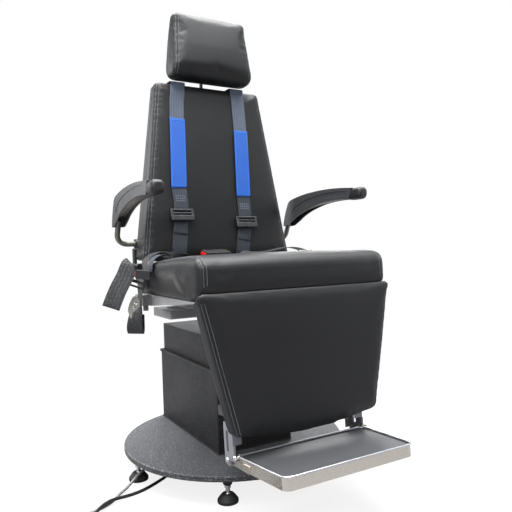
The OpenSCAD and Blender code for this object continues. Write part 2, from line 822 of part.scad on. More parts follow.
module headrest_cushion() {
    color("#1f2023") loft([for (w = head_station_shares)
        let (a = mix(head_foot_half_w, head_top_half_w, w) - head_round * lookup(w, head_inset_shares),
            b = head_t / 2 * lookup(w, head_depth_shares))
        [for (q = pad_section(a, b, min(head_edge, b * 0.8), head_crown, 0)) [q[0], head_y + q[1],
            head_z + head_h * w]]]);
}

// Back face of the headrest at share w of its height, and the slope of its carrying plate there
function head_back(w) = head_y + head_t / 2 * lookup(w, head_depth_shares);
function head_tilt(w0, w1) = atan((head_back(w0) - head_back(w1)) / (head_h * (w1 - w0)));

module headrest_post() {
    foot = 0.3;
    plate_h = plate_w * 0.6;
    stub_h = plate_w * 0.13;
    plate_z = head_z + head_h * foot;
    stub_z = plate_z + plate_h * 0.4;
    front = head_back(foot + (plate_h * 0.4 + stub_h / 2) / head_h) + 2 * slip + sheet_t / 2;
    post_place = post_y - board_y(back_foot_z);
    color("#3b3d41") {
        on_board() translate([0, post_place, back_h * 0.74])
            cylinder(r = post_r, h = head_z + head_h * 0.5 - back_foot_z - back_h * 0.74);
        translate([0, head_back(foot) + 2 * slip, plate_z]) rotate([head_tilt(foot, foot + plate_h / head_h), 0, 0])
            translate([-plate_w / 2, 0, 0]) cube([plate_w, sheet_t, plate_h]);
        translate([-post_r, front, stub_z]) cube([2 * post_r, board_y(stub_z) + post_place - front, stub_h]);
    }
}

// Armrests

// Frame of an armrest: the pivot in the backrest's socket, X outwards
module at_arm() {
    up = arm_pivot_z - back_foot_z;
    translate([0, board_y(back_foot_z) + arm_socket_y() * cos(board_lean) + up * sin(board_lean),
        back_foot_z - arm_socket_y() * sin(board_lean) + up * cos(board_lean)]) children();
}

// Middle line of the tube past its pivot: an elbow, then a straight rise to the flat bar
function elbow_points() = concat([[-arm_bend * 0.1, 0]],
    [for (a = [0 : 15 : 90]) [arm_bend * sin(a), arm_bend * (1 - cos(a))]], [[arm_bend, arm_tube_rise]]);

module arm_tube() {
    bar_w = arm_w - 2 * arm_wall - 2 * slip;
    color("#6b655c") {
        at_arm() translate([arm_plate_x - socket_l + slip, 0, 0]) rotate([0, 90, 0])
            cylinder(r = arm_tube_r, h = arm_x - arm_bend - arm_plate_x + socket_l);
        at_arm() rotate([arm_rise, 0, 0]) translate([arm_x - arm_bend, 0, 0])
            cord([for (p = elbow_points()) [p[0], 0, p[1]]], arm_tube_r * 0.98, 16, [0, 1, 0]);
        arm_place() side_plate(-bar_w / 2, bar_w / 2) polygon(concat(curve(arm_points(bar_shares), 3),
            curve([for (p = reversed(arm_points(bar_shares))) p + [0, bar_t]], 3)));
    }
}

function reversed(p) = [for (i = [len(p) - 1 : -1 : 0]) p[i]];
function arm_points(shares) = [for (p = shares) [arm_back - arm_len * (1 - p[0]), arm_foot_z + arm_h * p[1]]];

// Side outline of the moulded arm, as shares of its length and height, and the flat bar in it
arm_top_shares = [[0.088, 0.925], [0.213, 0.969], [0.334, 0.995], [0.458, 1], [0.591, 0.982],
    [0.685, 0.956], [0.79, 0.903], [0.87, 0.846], [0.905, 0.79], [0.93, 0.673], [0.958, 0.469],
    [0.984, 0.23], [0.996, 0.02]];
arm_low_shares = [[0.942, 0.035], [0.86, 0.168], [0.783, 0.31], [0.68, 0.442], [0.568, 0.54],
    [0.463, 0.605], [0.334, 0.637], [0.213, 0.636], [0.123, 0.61]];
bar_shares = [[0.125, 0.615], [0.213, 0.641], [0.334, 0.642], [0.463, 0.611], [0.6, 0.56], [0.72, 0.48],
    [0.84, 0.37], [0.93, 0.31]];
// The open underside of the moulded arm, below its rear and front ends
arm_open_shares = [[0.996, -0.9], [0.088, -0.9]];
// Shallow recess on both cheeks of the arm
arm_recess_shares = [[0.143, 0.76], [0.15, 0.84], [0.264, 0.89], [0.404, 0.884], [0.544, 0.84],
    [0.685, 0.755], [0.79, 0.635], [0.86, 0.48], [0.848, 0.35], [0.79, 0.42], [0.685, 0.56],
    [0.544, 0.67], [0.404, 0.73], [0.264, 0.748], [0.15, 0.745]];

module arm_body() {
    outline = concat(curve(arm_points(arm_top_shares), 3), curve(arm_points(arm_low_shares), 3));
    color("#3c3e41") difference() {
        arm_place() arm_shell(outline);
        at_arm() rotate([arm_rise, 0, 0]) translate([arm_x, 0, arm_bend])
            cylinder(r = arm_tube_r + fit, h = arm_tube_rise - arm_bend + slip);
    }
}

module arm_shell(outline) {
    difference() {
        side_plate(-arm_w / 2, arm_w / 2) polygon(outline);
        side_plate(-arm_w / 2 + arm_wall, arm_w / 2 - arm_wall) offset(delta = -arm_wall)
            polygon(concat(curve(arm_points(arm_top_shares), 3), arm_points(arm_open_shares)));
        for (x = [-arm_w / 2 - over, arm_w / 2 - arm_recess]) side_plate(x, x + over + arm_recess)
            polygon(curve(arm_points(arm_recess_shares), 3));
    }
}

// The armrests stand a little further apart at their front
module arm_place() {
    translate([arm_x, arm_back, 0]) rotate(arm_splay) translate([0, -arm_back, 0]) children();
}

// Places along the grip from its tip, and how far its end has rounded off there
grip_station_shares = [[0, 1], [0.04, 0.62], [0.1, 0.34], [0.2, 0.1], [0.32, 0], [0.7, 0], [0.985, 0]];

module arm_grip() {
    tip = arm_back - arm_len;
    grip_len = arm_len * grip_share;
    mid_z = arm_foot_z + arm_h * 0.925 - grip_h / 2;
    color("#151618") arm_place() loft([for (k = reversed(grip_station_shares))
        let (a = arm_w / 2 - grip_edge * 0.8 * k[1], b = grip_h / 2 - grip_edge * 0.8 * k[1])
        [for (q = pad_section(a, b, min(grip_edge, b * 0.8), 0, 0, 4))
            [q[0], tip + grip_len * k[0] - k[0] * arm_len * skew_share * q[1] / grip_h, mid_z + q[1]]]]);
}

// Legrest

// Frame of the legrest: top of its front face
module on_leg() {
    translate([0, -leg_y, leg_z]) rotate([-leg_lean, 0, 0]) children();
}

leg_station_shares = [0, 0.01, 0.026, 0.05, 0.12, 0.24, 0.38, 0.52, 0.66, 0.8, 0.9, 0.95, 0.974, 0.99, 1];
leg_inset_shares = [[0, 1], [0.01, 0.5], [0.026, 0.16], [0.05, 0], [0.95, 0], [0.974, 0.16],
    [0.99, 0.5], [1, 1]];

bevel_share = 0.9;

module legrest_cushion() {
    color("#202124") on_leg() loft([for (w = leg_station_shares)
        let (inset = lookup(w, leg_inset_shares), b = leg_t / 2 - leg_round * 0.6 * inset,
            a = mix(leg_foot_half_w, leg_top_half_w, w) - leg_round * inset,
            bevel = leg_bevel * max(0, (w - bevel_share) / (1 - bevel_share)))
        [for (q = pad_section(a, b, min(leg_edge, b * 0.8), leg_crown * sin(180 * w), 0))
            [q[0], leg_t / 2 + q[1], -leg_h * (1 - w) - leg_bow * pow(1 - w, 3) * (1 - pow(q[0] / a, 2))
                - bevel * (0.5 + q[1] / leg_t)]]]);
}

// Bosses under the board that the footrest's uprights slide in
module upright_guide(z) {
    y = leg_t + slip + leg_board_t;
    h = 2 * leg_board_t + barrel_w;
    w = bracket_t + 2 * slide_w;
    translate([bracket_x + bracket_t / 2 - w / 2, y - over, z]) difference() {
        cube([w, bracket_y + bracket_w + leg_board_t - y + over, h]);
        translate([slide_w - slip, bracket_y - y + over - slip, -over])
            cube([bracket_t + 2 * slip, bracket_w + 2 * slip, h + 2 * over]);
    }
}

module legrest_frame() {
    foot_w = leg_foot_half_w - leg_inset;
    top_w = leg_top_half_w - leg_inset;
    barrels = [slide_x - slide_w / 2 - barrel_gap - barrel_w, slide_x + slide_w / 2 + barrel_gap];
    color("#2a2b2e") difference() {
        union() {
            on_leg() translate([0, leg_t + slip, 0]) front_plate(leg_board_t) polygon(rounded([
                [-foot_w, -leg_h + leg_inset], [foot_w, -leg_h + leg_inset], [top_w, -leg_bevel],
                [-top_w, -leg_bevel]], leg_inset));
            on_leg() both_sides() for (z = [-leg_h * 0.62, -leg_h * 0.86]) upright_guide(z);
            both_sides() for (x = barrels) {
                translate([x, 0, 0]) leg_barrel(barrel_w);
                at_leg_hinge() translate([x, -leg_hinge_r * 1.5, -leg_hinge_r])
                    cube([barrel_w, leg_hinge_r * 1.5, 2 * leg_hinge_r]);
            }
        }
        at_leg_hinge() translate([-leg_top_half_w, 0, 0]) rotate([0, 90, 0])
            cylinder(r = leg_pin_r + fit, h = 2 * leg_top_half_w);
    }
}

// The legrest's hinge line
module at_leg_hinge() {
    translate([0, -leg_hinge_y, leg_hinge_z]) children();
}

module leg_barrel(w) {
    at_leg_hinge() rotate([0, 90, 0]) cylinder(r = leg_hinge_r, h = w);
}

module legrest_carriage() {
    z = seat_base - slide_low;
    color("#9a9da2") difference() {
        for (x = [-slide_x, slide_x]) translate([x - slide_w / 2, 0, 0]) {
            translate([0, -leg_hinge_y, z]) cube([slide_w, tray_front * 0.5, slide_h]);
            translate([0, -leg_hinge_y - leg_hinge_r / 2, z]) cube([slide_w, leg_hinge_r, leg_hinge_z - z]);
            leg_barrel(slide_w);
        }
        at_leg_hinge() translate([-leg_top_half_w, 0, 0]) rotate([0, 90, 0])
            cylinder(r = leg_pin_r + fit, h = 2 * leg_top_half_w);
    }
}

module legrest_pins() {
    color("#c9ccd0") both_sides() at_leg_hinge() translate([slide_x - 2 * slide_w, 0, 0]) rotate([0, 90, 0])
        cylinder(r = leg_pin_r, h = 4 * slide_w);
}

// Footrest, drawn in the legrest's frame

module footrest_brackets() {
    y0 = bracket_y;
    y1 = bracket_y + bracket_w;
    back = tray_back + bracket_reach;
    low = -tray_z - tray_rim;
    bar_z = -leg_h * 0.93;
    color("#a9a8ad") on_leg() both_sides() difference() {
        union() {
            side_plate(bracket_x, bracket_x + bracket_t) difference() {
                polygon([[y0, -leg_h * 0.5], [y1, -leg_h * 0.5], [y1, bar_z], [back, bar_z],
                    [back, low + sheet_t], [back - bracket_w, low], [y1, -tray_z - tray_rim / 2],
                    [tray_back + sheet_t, -tray_z - tray_rim / 2], [tray_back + sheet_t, -tray_z + bracket_w],
                    [y0, -tray_z + bracket_w]]);
                polygon([[y1, bar_z - bracket_bar], [back - bracket_rear, bar_z - bracket_bar],
                    [back - bracket_rear, -tray_z + sheet_t], [y1, -tray_z + 2 * sheet_t]]);
            }
            side_plate(bracket_x - bracket_bar, bracket_x + over)
                polygon(box2(y0, y0 + sheet_t, -tray_z + bracket_w, -leg_h * 0.95));
            side_plate(bracket_x - bracket_bar, bracket_x + over)
                polygon(box2(back - sheet_t, back, low + bracket_bar, bar_z));
        }
        tray_bolt_holes();
    }
}

function bolt_places() = [[bolt_first, -tray_z - bolt_drop], [bolt_second, -tray_z - bolt_step]];
module tray_bolt_holes() {
    for (p = bolt_places()) translate([bracket_x - 3 * tray_arm_t, p[0], p[1]]) rotate([0, 90, 0])
        cylinder(r = tray_bolt_r + fit, h = 6 * tray_arm_t);
}

module footrest_bolts() {
    color("#d8dade") on_leg() both_sides() for (p = bolt_places())
        translate([bracket_x - 2 * tray_arm_t, p[0], p[1]]) {
            rotate([0, 90, 0]) cylinder(r = tray_bolt_r, h = 2 * tray_arm_t + bracket_t);
            translate([2 * tray_arm_t + bracket_t, 0, 0]) rotate([0, 90, 0]) rotate_extrude() intersection() {
                translate([0, -dome_r * 0.3]) circle(dome_r * 1.04);
                square([dome_r, dome_r]);
            }
        }
}

function tray_outline(inset) = rounded([[-tray_back_half_w + inset, tray_back - inset],
    [-tray_front_half_w + inset, tray_back - tray_depth + inset],
    [tray_front_half_w - inset, tray_back - tray_depth + inset],
    [tray_back_half_w - inset, tray_back - inset]], tray_corner - inset);

// Side outline of the tray's ears, in rim heights from the top of its back edge
ear_shares = [[-1.9, -0.87], [-1.9, -0.4], [-0.3, -0.4], [-0.3, 0.24], [0.4, 0.24], [1.66, -0.2], [1.66, -0.9],
    [1.4, -1], [-1.7, -1]];

module footrest_tray() {
    color("#b9b1a6") on_leg() difference() {
        union() {
            translate([0, 0, -tray_z - tray_rim]) difference() {
                linear_extrude(tray_rim) polygon(tray_outline(0));
                translate([0, 0, -over]) linear_extrude(tray_rim - mat_drop - mat_t - tray_sheet + over)
                    polygon(tray_outline(tray_sheet));
                translate([0, 0, tray_rim - mat_drop - mat_t]) linear_extrude(tray_rim)
                    polygon(tray_outline(tray_sheet));
            }
            both_sides() side_plate(tray_back_half_w - tray_arm_t, tray_back_half_w)
                polygon([for (q = ear_shares) [tray_back, -tray_z] + tray_rim * q]);
        }
        both_sides() tray_bolt_holes();
    }
}

module footrest_mat() {
    color("#5d6062") on_leg() translate([0, 0, -tray_z - mat_drop - mat_t]) linear_extrude(mat_t)
        polygon(tray_outline(tray_sheet + slip));
}

// Harness

// Centre line of each shoulder strap: place across the chair and height, as shares
left_strap_shares = [[-0.6, 0.99], [-0.63, 0.89], [-0.63, 0.79], [-0.62, 0.61], [-0.61, 0.4],
    [-0.58, 0.33], [-0.57, 0.25], [-0.59, 0.16], [-0.6, 0.06], [-0.6, 0.01]];
right_strap_shares = [[0.53, 0.99], [0.51, 0.89], [0.49, 0.75], [0.44, 0.55], [0.4, 0.36],
    [0.4, 0.3], [0.4, 0.21], [0.34, 0.12], [0.31, 0.04], [0.31, 0.01]];

function strap_x(q, z) = q * (back_w(z) - strap_side * (1 - (z - back_foot_z) / back_h));
function strap_point(p, lift) = let (z = back_foot_z + back_h * p[1], x = strap_x(p[0], z))
    [x, face_y(x, z) - lift, z];
function over_top(x) = let (z = back_foot_z + back_h, y = back_y(z), t = back_t(z), g = back_arc + strap_top,
    b = board_y(z) + board_t + web_t + strap_lift) [[x, b, z - 12 * strap_back], [x, b, z - 3 * strap_back],
        [x, b - strap_lift, z], [x, b - 3 * strap_top, z + g * 0.9], [x, y + t * 0.6, z + g],
        [x, y + t * 0.12, z + g * 0.6], [x, y - 2 * strap_lift, z - 2 * strap_lift]];
function strap_path(shares) = curve(concat(over_top(strap_x(shares[0][0], back_foot_z + back_h)),
    [for (p = shares) strap_point(p, web_t / 2 + strap_lift)]), 3);

module shoulder_strap(shares) {
    p = strap_path(shares);
    color("#3a4a5f") band(p, [for (q = p) [1, 0, 0]], web_w, web_t);
}

module strap_sleeves() {
    color("#3d74d8") {
        sleeve(left_strap_shares, 0.79, 0.4);
        sleeve(right_strap_shares, 0.75, 0.36);
    }
}

function strap_at(shares, w, lift) = let (t = [for (p = shares) [-p[1], p[0]]])
    strap_point([lookup(-w, t), w], lift);
module sleeve(shares, w1, w0) {
    steps = 12;
    p = [for (i = [0 : steps]) strap_at(shares, mix(w1, w0, i / steps), strap_lift + web_t + slip + sleeve_t / 2)];
    band(p, [for (q = p) [1, 0, 0]], sleeve_w, sleeve_t);
}

// Three-bar slide, drawn flat in X-Z with its front towards -Y
module three_bar(w, h, t) {
    front_plate(t) difference() {
        polygon(rounded(box2(-w / 2, w / 2, -h / 2, h / 2), h * 0.14));
        for (z = [-1, 1]) polygon(rounded(box2(-w * 0.37, w * 0.37, z * h * 0.13, z * h * 0.34), h * 0.06));
    }
}

module strap_adjusters() {
    color("#2b2d30") for (a = [[left_strap_shares, 0.252], [right_strap_shares, 0.212]])
        translate(strap_at(a[0], a[1], strap_lift + web_t + slip) - [0, slide_bar_t, 0]) rotate([back_lean * -1, 0, 0])
            three_bar(slide_bar_w, slide_bar_h, slide_bar_t);
}

// Lap belts: places counted from the seat's side and base, in webbing widths
lap_left_shares = [[3.2, 0.44, 1.1], [2.8, 0.4, 2.05], [2.0, 0.04, 2.42], [1.1, -0.24, 2.5],
    [0.4, -0.56, 2.34], [-0.1, -0.8, 1.92], [-0.24, -0.96, 1.3], [-0.46, -1.04, 0.56],
    [-0.56, -1.1, -0.24], [-0.82, -1.12, -1.04], [-0.92, -1.12, -1.74], [-0.84, -1.0, -2.18],
    [-0.8, -0.78, -2.06], [-0.78, -0.72, -1.14]];
lap_left_turn = [[1, -0.1, 0], [0.95, -0.3, 0], [0.5, -0.87, 0], [0, -1, 0], [0, -1, 0], [0, -1, 0],
    [0.1, -1, 0], [0.05, -1, 0], [-0.1, -1, 0], [0.48, -0.88, 0], [0.7, -0.7, 0], [0.7, -0.7, 0],
    [0.7, -0.7, 0], [0.7, -0.6, 0]];
lap_tail_shares = [[-0.82, -1.2, 1.16], [-0.86, -1.24, 1.5], [-0.9, -1.28, 1.78], [-1.04, -1.34, 1.9],
    [-1.24, -1.4, 1.7], [-1.46, -1.44, 1.2], [-1.94, -1.5, 0.42], [-2.38, -1.56, -0.56]];
lap_short_shares = [[1.0, -1.6, 2.24], [0.5, -1.8, 2.34], [0.0, -1.9, 2.1], [-0.16, -1.96, 1.7],
    [-0.22, -2.04, 1.31]];
lap_right_shares = [[4.6, 0.44, 1.2], [4.4, 0.4, 1.9], [3.6, 0.1, 2.2], [2.7, -0.3, 2.36], [1.8, -0.7, 2.56],
    [1.1, -0.9, 2.5], [0.4, -1.0, 2.26], [-0.16, -1.04, 1.7], [-0.36, -1.04, 0.9], [-0.4, -1.0, 0.1]];
lap_right_turn = concat([[-1, 0.1, 0], [-0.95, 0.3, 0], [-0.5, 0.87, 0]], [for (i = [1 : 7]) [0, 1, 0]]);

function lap_point(s) = [-seat_half_w + web_w * s[0], web_w * s[1], seat_base + web_w * s[2]];
function lap_curve(shares) = curve([for (s = shares) lap_point(s)], 3);

// Children placed at p, with their X along d and their Y along n
module facing(p, d, n) {
    x = unit(d);
    y = unit(n - x * (n * x));
    z = cross(x, y);
    multmatrix([[x[0], y[0], z[0], p[0]], [x[1], y[1], z[1], p[1]], [x[2], y[2], z[2], p[2]]]) children();
}

module lap_belt_left() {
    p = lap_curve(lap_left_shares);
    short = lap_curve(lap_short_shares);
    tail = lap_curve(lap_tail_shares);
    color("#20242b") {
        band(p, curve(lap_left_turn, 3), web_w, web_t);
        band(short, [for (q = short) [0, -1, 0]], web_w * 0.8, web_t);
        band(tail, [for (q = tail) [0.78, -0.44, -0.45]], web_w, web_t);
    }
}

module lap_belt_right() {
    p = lap_curve(lap_right_shares);
    color("#2a323d") mirror([1, 0, 0]) band(p, curve(lap_right_turn, 3), web_w, web_t);
}

module belt_adjusters() {
    color("#2b2d30") {
        facing(lap_point([-0.82, -1.3, 0.84]), [0.82, -0.46, -0.34], [0.49, 0.87, 0])
            three_bar(web_w * 1.16, slide_bar_h * 1.3, slide_bar_t * 0.7);
        mirror([1, 0, 0]) facing(lap_point([-0.52, -1.04, 0.9]), [0, -1, 0], [1, 0, 0])
            three_bar(web_w * 1.16, slide_bar_h * 1.3, slide_bar_t * 0.7);
    }
}

// Where each buckle lies, the way its button end points, the way its width runs, and its scale
buckle_places = [[lap_point([4.6, -0.78, 2.265]), [-1, 0, 0], [0, -0.98, -0.2], 1],
    [lap_point([-0.66, -2.16, 1.26]), [-0.87, 0.49, 0.1], [0.1, 0.1, -1], 0.5],
    [lap_point([0.92, -1.04, 2.08]), [-1, 0, 0], [0, -1, 0], 0.66]];

module at_buckle(i) {
    facing(buckle_places[i][0], buckle_places[i][1], buckle_places[i][2]) scale(buckle_places[i][3]) children();
}

// Buckle in its own frame: its button end towards +X
module buckle_body() {
    difference() {
        linear_extrude(buckle_t, center = true) polygon(rounded(box2(-buckle_l / 2, buckle_l / 2, -buckle_w / 2,
            buckle_w / 2), buckle_w * 0.2));
        translate([buckle_l / 2 - button_l, -button_w / 2 - slip, -button_t / 2 - slip])
            cube([button_l + over, button_w + 2 * slip, button_t + 2 * slip]);
    }
}

module buckle_button() {
    translate([buckle_l / 2 - button_l + button_travel + slip, -button_w / 2, -button_t / 2])
        cube([button_l, button_w, button_t]);
}

module belt_buckles() {
    color("#17181a") for (i = [0 : 2]) at_buckle(i) buckle_body();
}

// Outline of a snap hook, in webbing widths
hook_shares = [[-0.03, 0.62], [0.23, 0.66], [0.25, 0.48], [0.37, 0.28], [0.34, 0.08], [0.2, -0.12],
    [-0.08, -0.32], [-0.14, -0.66], [-0.23, -0.62], [-0.35, -0.28], [-0.34, -0.06], [-0.23, 0.28]];
module hook_plate() {
    front_plate(sheet_t) difference() {
        polygon(rounded([for (i = [len(hook_shares) - 1 : -1 : 0]) web_w * hook_shares[i]], web_w * 0.04, 3));
        circle(web_w * 0.07);
        polygon(web_w * [[0.02, 0.2], [0.2, 0.16], [0.22, 0.3], [0.1, 0.46]]);
    }
}
module snap_hooks() {
    color("#d9d7c8") {
        facing(lap_point([-0.98, -1.3, -0.62]), [0.87, -0.49, 0], [0.49, 0.87, 0]) hook_plate();
        mirror([1, 0, 0]) facing(lap_point([0.7, -1.6, 2.27]), [0.6, 0.8, 0], [0, 0, 1]) hook_plate();
    }
}

module button_centre() { color("#e0362e") at_buckle(0) buckle_button(); }
module button_left() { color("#e0362e") at_buckle(1) buckle_button(); }
module button_side() { color("#e0362e") at_buckle(2) buckle_button(); }

// Cables

grey_loops = coil_path(grey_middle, grey_turns, grey_coil_r, grey_r, grey_start);
black_loops = coil_path(black_middle, black_turns, black_coil_r, black_r, black_start);
grey_path = into_coil(grey_points, grey_loops, grey_r);
black_path = into_coil(black_points, black_loops, black_r);
echo(grey_gap = least_gap(grey_loops, grey_r), black_gap = least_gap(black_loops, black_r),
    grey_length = path_length(grey_path) + path_length(grey_loops),
    black_length = path_length(black_path) + path_length(black_loops));

module cable_entry() {
    x0 = entry_x + gland_l;
    rows = [black_points[0][1], grey_points[0][1]];
    z = grey_points[0][2];
    color("#2d2e30") difference() {
        union() {
            translate([x0, rows[0] - gland_l, foot_h - entry_h]) cube([sheet_t, 3 * gland_l, entry_h]);
            translate([x0, rows[0] - gland_l, foot_h - sheet_t]) cube([gland_l, 3 * gland_l, sheet_t]);
            for (y = rows) translate([entry_x, y, z]) rotate([0, 90, 0])
                cylinder(r1 = gland_r * 0.6, r2 = gland_r, h = gland_l + over);
        }
        for (y = rows) translate([entry_x + 2 * sheet_t, y, z]) rotate([0, 90, 0])
            cylinder(r = gland_r * 0.5, h = gland_l);
    }
}

module grey_cable() { color("#c9c9c6") cord(grey_path, grey_r, cord_sides); }
module black_cable() { color("#1a1a1c") cord(black_path, black_r, cord_sides); }
module grey_coil() { color("#c9c9c6") cord(grey_loops, grey_r, coil_sides); }
module black_coil() { color("#1a1a1c") cord(black_loops, black_r, coil_sides); }

// Children placed at the end of a coil, with X along its last stretch
module at_end(p) {
    facing(p[len(p) - 1], along(p, len(p) - 1), [0, 0, 1]) children();
}

// Round control plug: a sleeve, a coupling ring with flutes, and five pins
module grey_plug() {
    body_r = grey_loops[len(grey_loops) - 1][2] - slip / 6;
    color("#b9b9b6") at_end(grey_loops) rotate([0, 90, 0]) difference() {
        union() {
            cylinder(r = grey_r + slip / 2, h = relief_l / 2);
            translate([0, 0, relief_l / 2]) cylinder(r1 = grey_r + slip / 2, r2 = body_r * 0.7, h = relief_l / 2);
            translate([0, 0, relief_l]) cylinder(r = body_r * 0.86, h = plug_l);
            translate([0, 0, relief_l + plug_l * 0.4]) cylinder(r = body_r, h = plug_l * 0.5);
        }
        translate([0, 0, relief_l + plug_l * 0.6]) cylinder(r = body_r * 0.7, h = plug_l);
        for (i = [0 : 11]) rotate(30 * i) translate([body_r + over, 0, relief_l + plug_l * 0.36])
            cylinder(r = 2 * over, h = plug_l * 0.6);
    }
}

// Mains plug: a moulded body with two round pins
module black_plug() {
    half = black_loops[len(black_loops) - 1][2] - slip / 6;
    color("#1a1a1c") at_end(black_loops) {
        rotate([0, 90, 0]) cylinder(r = black_r + slip / 2, h = relief_l / 2);
        translate([relief_l / 2, 0, 0]) rotate([0, 90, 0])
            cylinder(r1 = black_r + slip / 2, r2 = half * 0.7, h = relief_l / 2);
        translate([relief_l, 0, 0]) rotate([90, 0, 90]) linear_extrude(plug_l) intersection() {
            circle(half * 1.3);
            polygon(box2(-half, half, -half * 1.3, half * 1.3));
        }
        for (s = [-1, 1]) translate([relief_l + plug_l - over, 0, s * pin_gap / 2]) rotate([0, 90, 0])
            cylinder(r = mains_pin_r, h = mains_pin_l);
    }
}

base_disc();
foot_bosses();
foot_stems();
foot_pads();
lower_casing();
outer_column();
lift_actuator();
drive_electronics();
cable_entry();
grey_cable();
grey_coil();
grey_plug();
black_cable();
black_coil();
black_plug();
upper_casing();
inner_column();
actuator_rod();
motor_housing();
motor_stator();
bearing_outer_ring();
bearing_balls();
spindle();
motor_rotor();
bearing_inner_ring();
carrier_frame();
seat_tray();
seat_cushion();
lap_belt_left();
lap_belt_right();
belt_adjusters();
belt_buckles();
snap_hooks();
button_centre();
button_left();
button_side();
back_frame();
back_cushion();
shoulder_strap(left_strap_shares);  // shoulder_strap_left
shoulder_strap(right_strap_shares);  // shoulder_strap_right
strap_sleeves();
strap_adjusters();
recline_pins();
headrest_post();
headrest_cushion();
mirror([1, 0, 0]) arm_body();  // arm_left
arm_body();  // arm_right
mirror([1, 0, 0]) arm_tube();  // arm_tube_left
arm_tube();  // arm_tube_right
mirror([1, 0, 0]) arm_grip();  // grip_left
arm_grip();  // grip_right
legrest_carriage();
legrest_frame();
legrest_cushion();
legrest_pins();
footrest_brackets();
footrest_tray();
footrest_mat();
footrest_bolts();
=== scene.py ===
import math

import bpy
import numpy as np
from mathutils import Matrix, Vector
from mathutils.bvhtree import BVHTree


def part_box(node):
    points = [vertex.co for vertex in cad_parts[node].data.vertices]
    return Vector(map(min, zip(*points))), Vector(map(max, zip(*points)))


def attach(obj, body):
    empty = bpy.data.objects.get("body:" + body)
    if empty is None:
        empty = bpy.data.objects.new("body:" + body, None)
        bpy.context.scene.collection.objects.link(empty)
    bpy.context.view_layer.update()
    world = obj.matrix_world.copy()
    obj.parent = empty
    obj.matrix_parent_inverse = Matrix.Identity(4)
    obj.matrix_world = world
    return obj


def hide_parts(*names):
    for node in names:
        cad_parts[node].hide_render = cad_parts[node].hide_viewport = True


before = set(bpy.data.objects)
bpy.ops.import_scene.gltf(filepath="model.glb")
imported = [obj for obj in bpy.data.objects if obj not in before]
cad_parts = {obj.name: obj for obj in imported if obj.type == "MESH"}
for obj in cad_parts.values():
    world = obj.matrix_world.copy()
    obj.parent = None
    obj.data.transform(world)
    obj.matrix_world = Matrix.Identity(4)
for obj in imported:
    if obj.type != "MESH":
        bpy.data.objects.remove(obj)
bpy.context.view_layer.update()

# The camera
# It stands in front of the chair on its left, level with the armrests, and tilts a little to
# one side, as the photograph was taken.

scene = bpy.context.scene


def placed(name, data):
    made = bpy.data.objects.new(name, data)
    scene.collection.objects.link(made)
    return made


yaw, pitch, roll = (math.radians(a) for a in (29.479, -0.795, -1.737))
stand_x, stand_y, stand_z = -0.8041, -1.6110, 0.6840
ahead = Vector((math.sin(yaw) * math.cos(pitch), math.cos(yaw) * math.cos(pitch), math.sin(pitch)))
level = Vector((math.cos(yaw), -math.sin(yaw), 0))
upright = level.cross(ahead)
across = level * math.cos(roll) + upright * math.sin(roll)
above = upright * math.cos(roll) - level * math.sin(roll)
lens = bpy.data.cameras.new("camera")
lens.lens = 38.49
lens.sensor_width = 36
lens.clip_end = 60
camera = placed("camera", lens)
camera.matrix_world = Matrix((
    (across.x, above.x, -ahead.x, stand_x),
    (across.y, above.y, -ahead.y, stand_y),
    (across.z, above.z, -ahead.z, stand_z),
    (0, 0, 0, 1)))
scene.camera = camera

# The cables
# Two round sheathed cables leave the casing, fall to the floor and lie in piled loops. The grey
# one ends in a connector and the black one in a plug.


def add(tree, kind, wires=None, **settings):
    """A node of that kind, with each input wired to a socket or set to a value."""
    made = tree.nodes.new("ShaderNode" + kind)
    for key, value in settings.items():
        setattr(made, key, value)
    for key, value in (wires or {}).items():
        if isinstance(value, bpy.types.NodeSocket):
            tree.links.new(value, made.inputs[key])
        else:
            made.inputs[key].default_value = value
    return made


def effect(name, inputs, outputs):
    """A node group, with its inner input and output sockets."""
    group = bpy.data.node_groups.new(name, "ShaderNodeTree")
    for label, kind, value in inputs:
        socket = group.interface.new_socket(label, in_out="INPUT", socket_type="NodeSocket" + kind)
        socket.default_value = value
    for label, kind in outputs:
        group.interface.new_socket(label, in_out="OUTPUT", socket_type="NodeSocket" + kind)
    entry = group.nodes.new("NodeGroupInput")
    leave = group.nodes.new("NodeGroupOutput")
    return group, entry.outputs, leave.inputs


def calc(tree, operation, *values):
    return add(tree, "Math", dict(enumerate(values)), operation=operation).outputs[0]


def blend(tree, share, one, other):
    """The colour one, gone over to the other by the share."""
    return add(tree, "Mix", {0: share, 6: one, 7: other}, data_type="RGBA").outputs[2]


# How a finish varies over large, small and fine patches
uneven, given, result = effect("uneven_finish", [
    ("Colour", "Color", (0.5, 0.5, 0.5, 1)), ("Roughness", "Float", 0.5),
    ("Mottle", "Float", 0.2), ("Spread", "Float", 0.1)],
    [("Colour", "Color"), ("Roughness", "Float"), ("Height", "Float")])
place = add(uneven, "TexCoord").outputs["Object"]
total = None
for scale, weight in ((5, 0.9), (42, 0.6), (380, 0.5)):
    noise = add(uneven, "TexNoise", {"Vector": place, "Scale": scale, "Detail": 3.0}).outputs[0]
    part = calc(uneven, "MULTIPLY", calc(uneven, "SUBTRACT", noise, 0.5), weight)
    total = part if total is None else calc(uneven, "ADD", total, part)
shade = calc(uneven, "MULTIPLY_ADD", total, given["Mottle"], 1.0)
toned = add(uneven, "HueSaturation", {"Value": shade, "Color": given["Colour"]}).outputs[0]
uneven.links.new(toned, result["Colour"])
spread = calc(uneven, "MULTIPLY_ADD", total, given["Spread"], given["Roughness"])
uneven.links.new(add(uneven, "Clamp", {"Value": spread, "Min": 0.05, "Max": 1.0}).outputs[0],
                 result["Roughness"])
uneven.links.new(total, result["Height"])

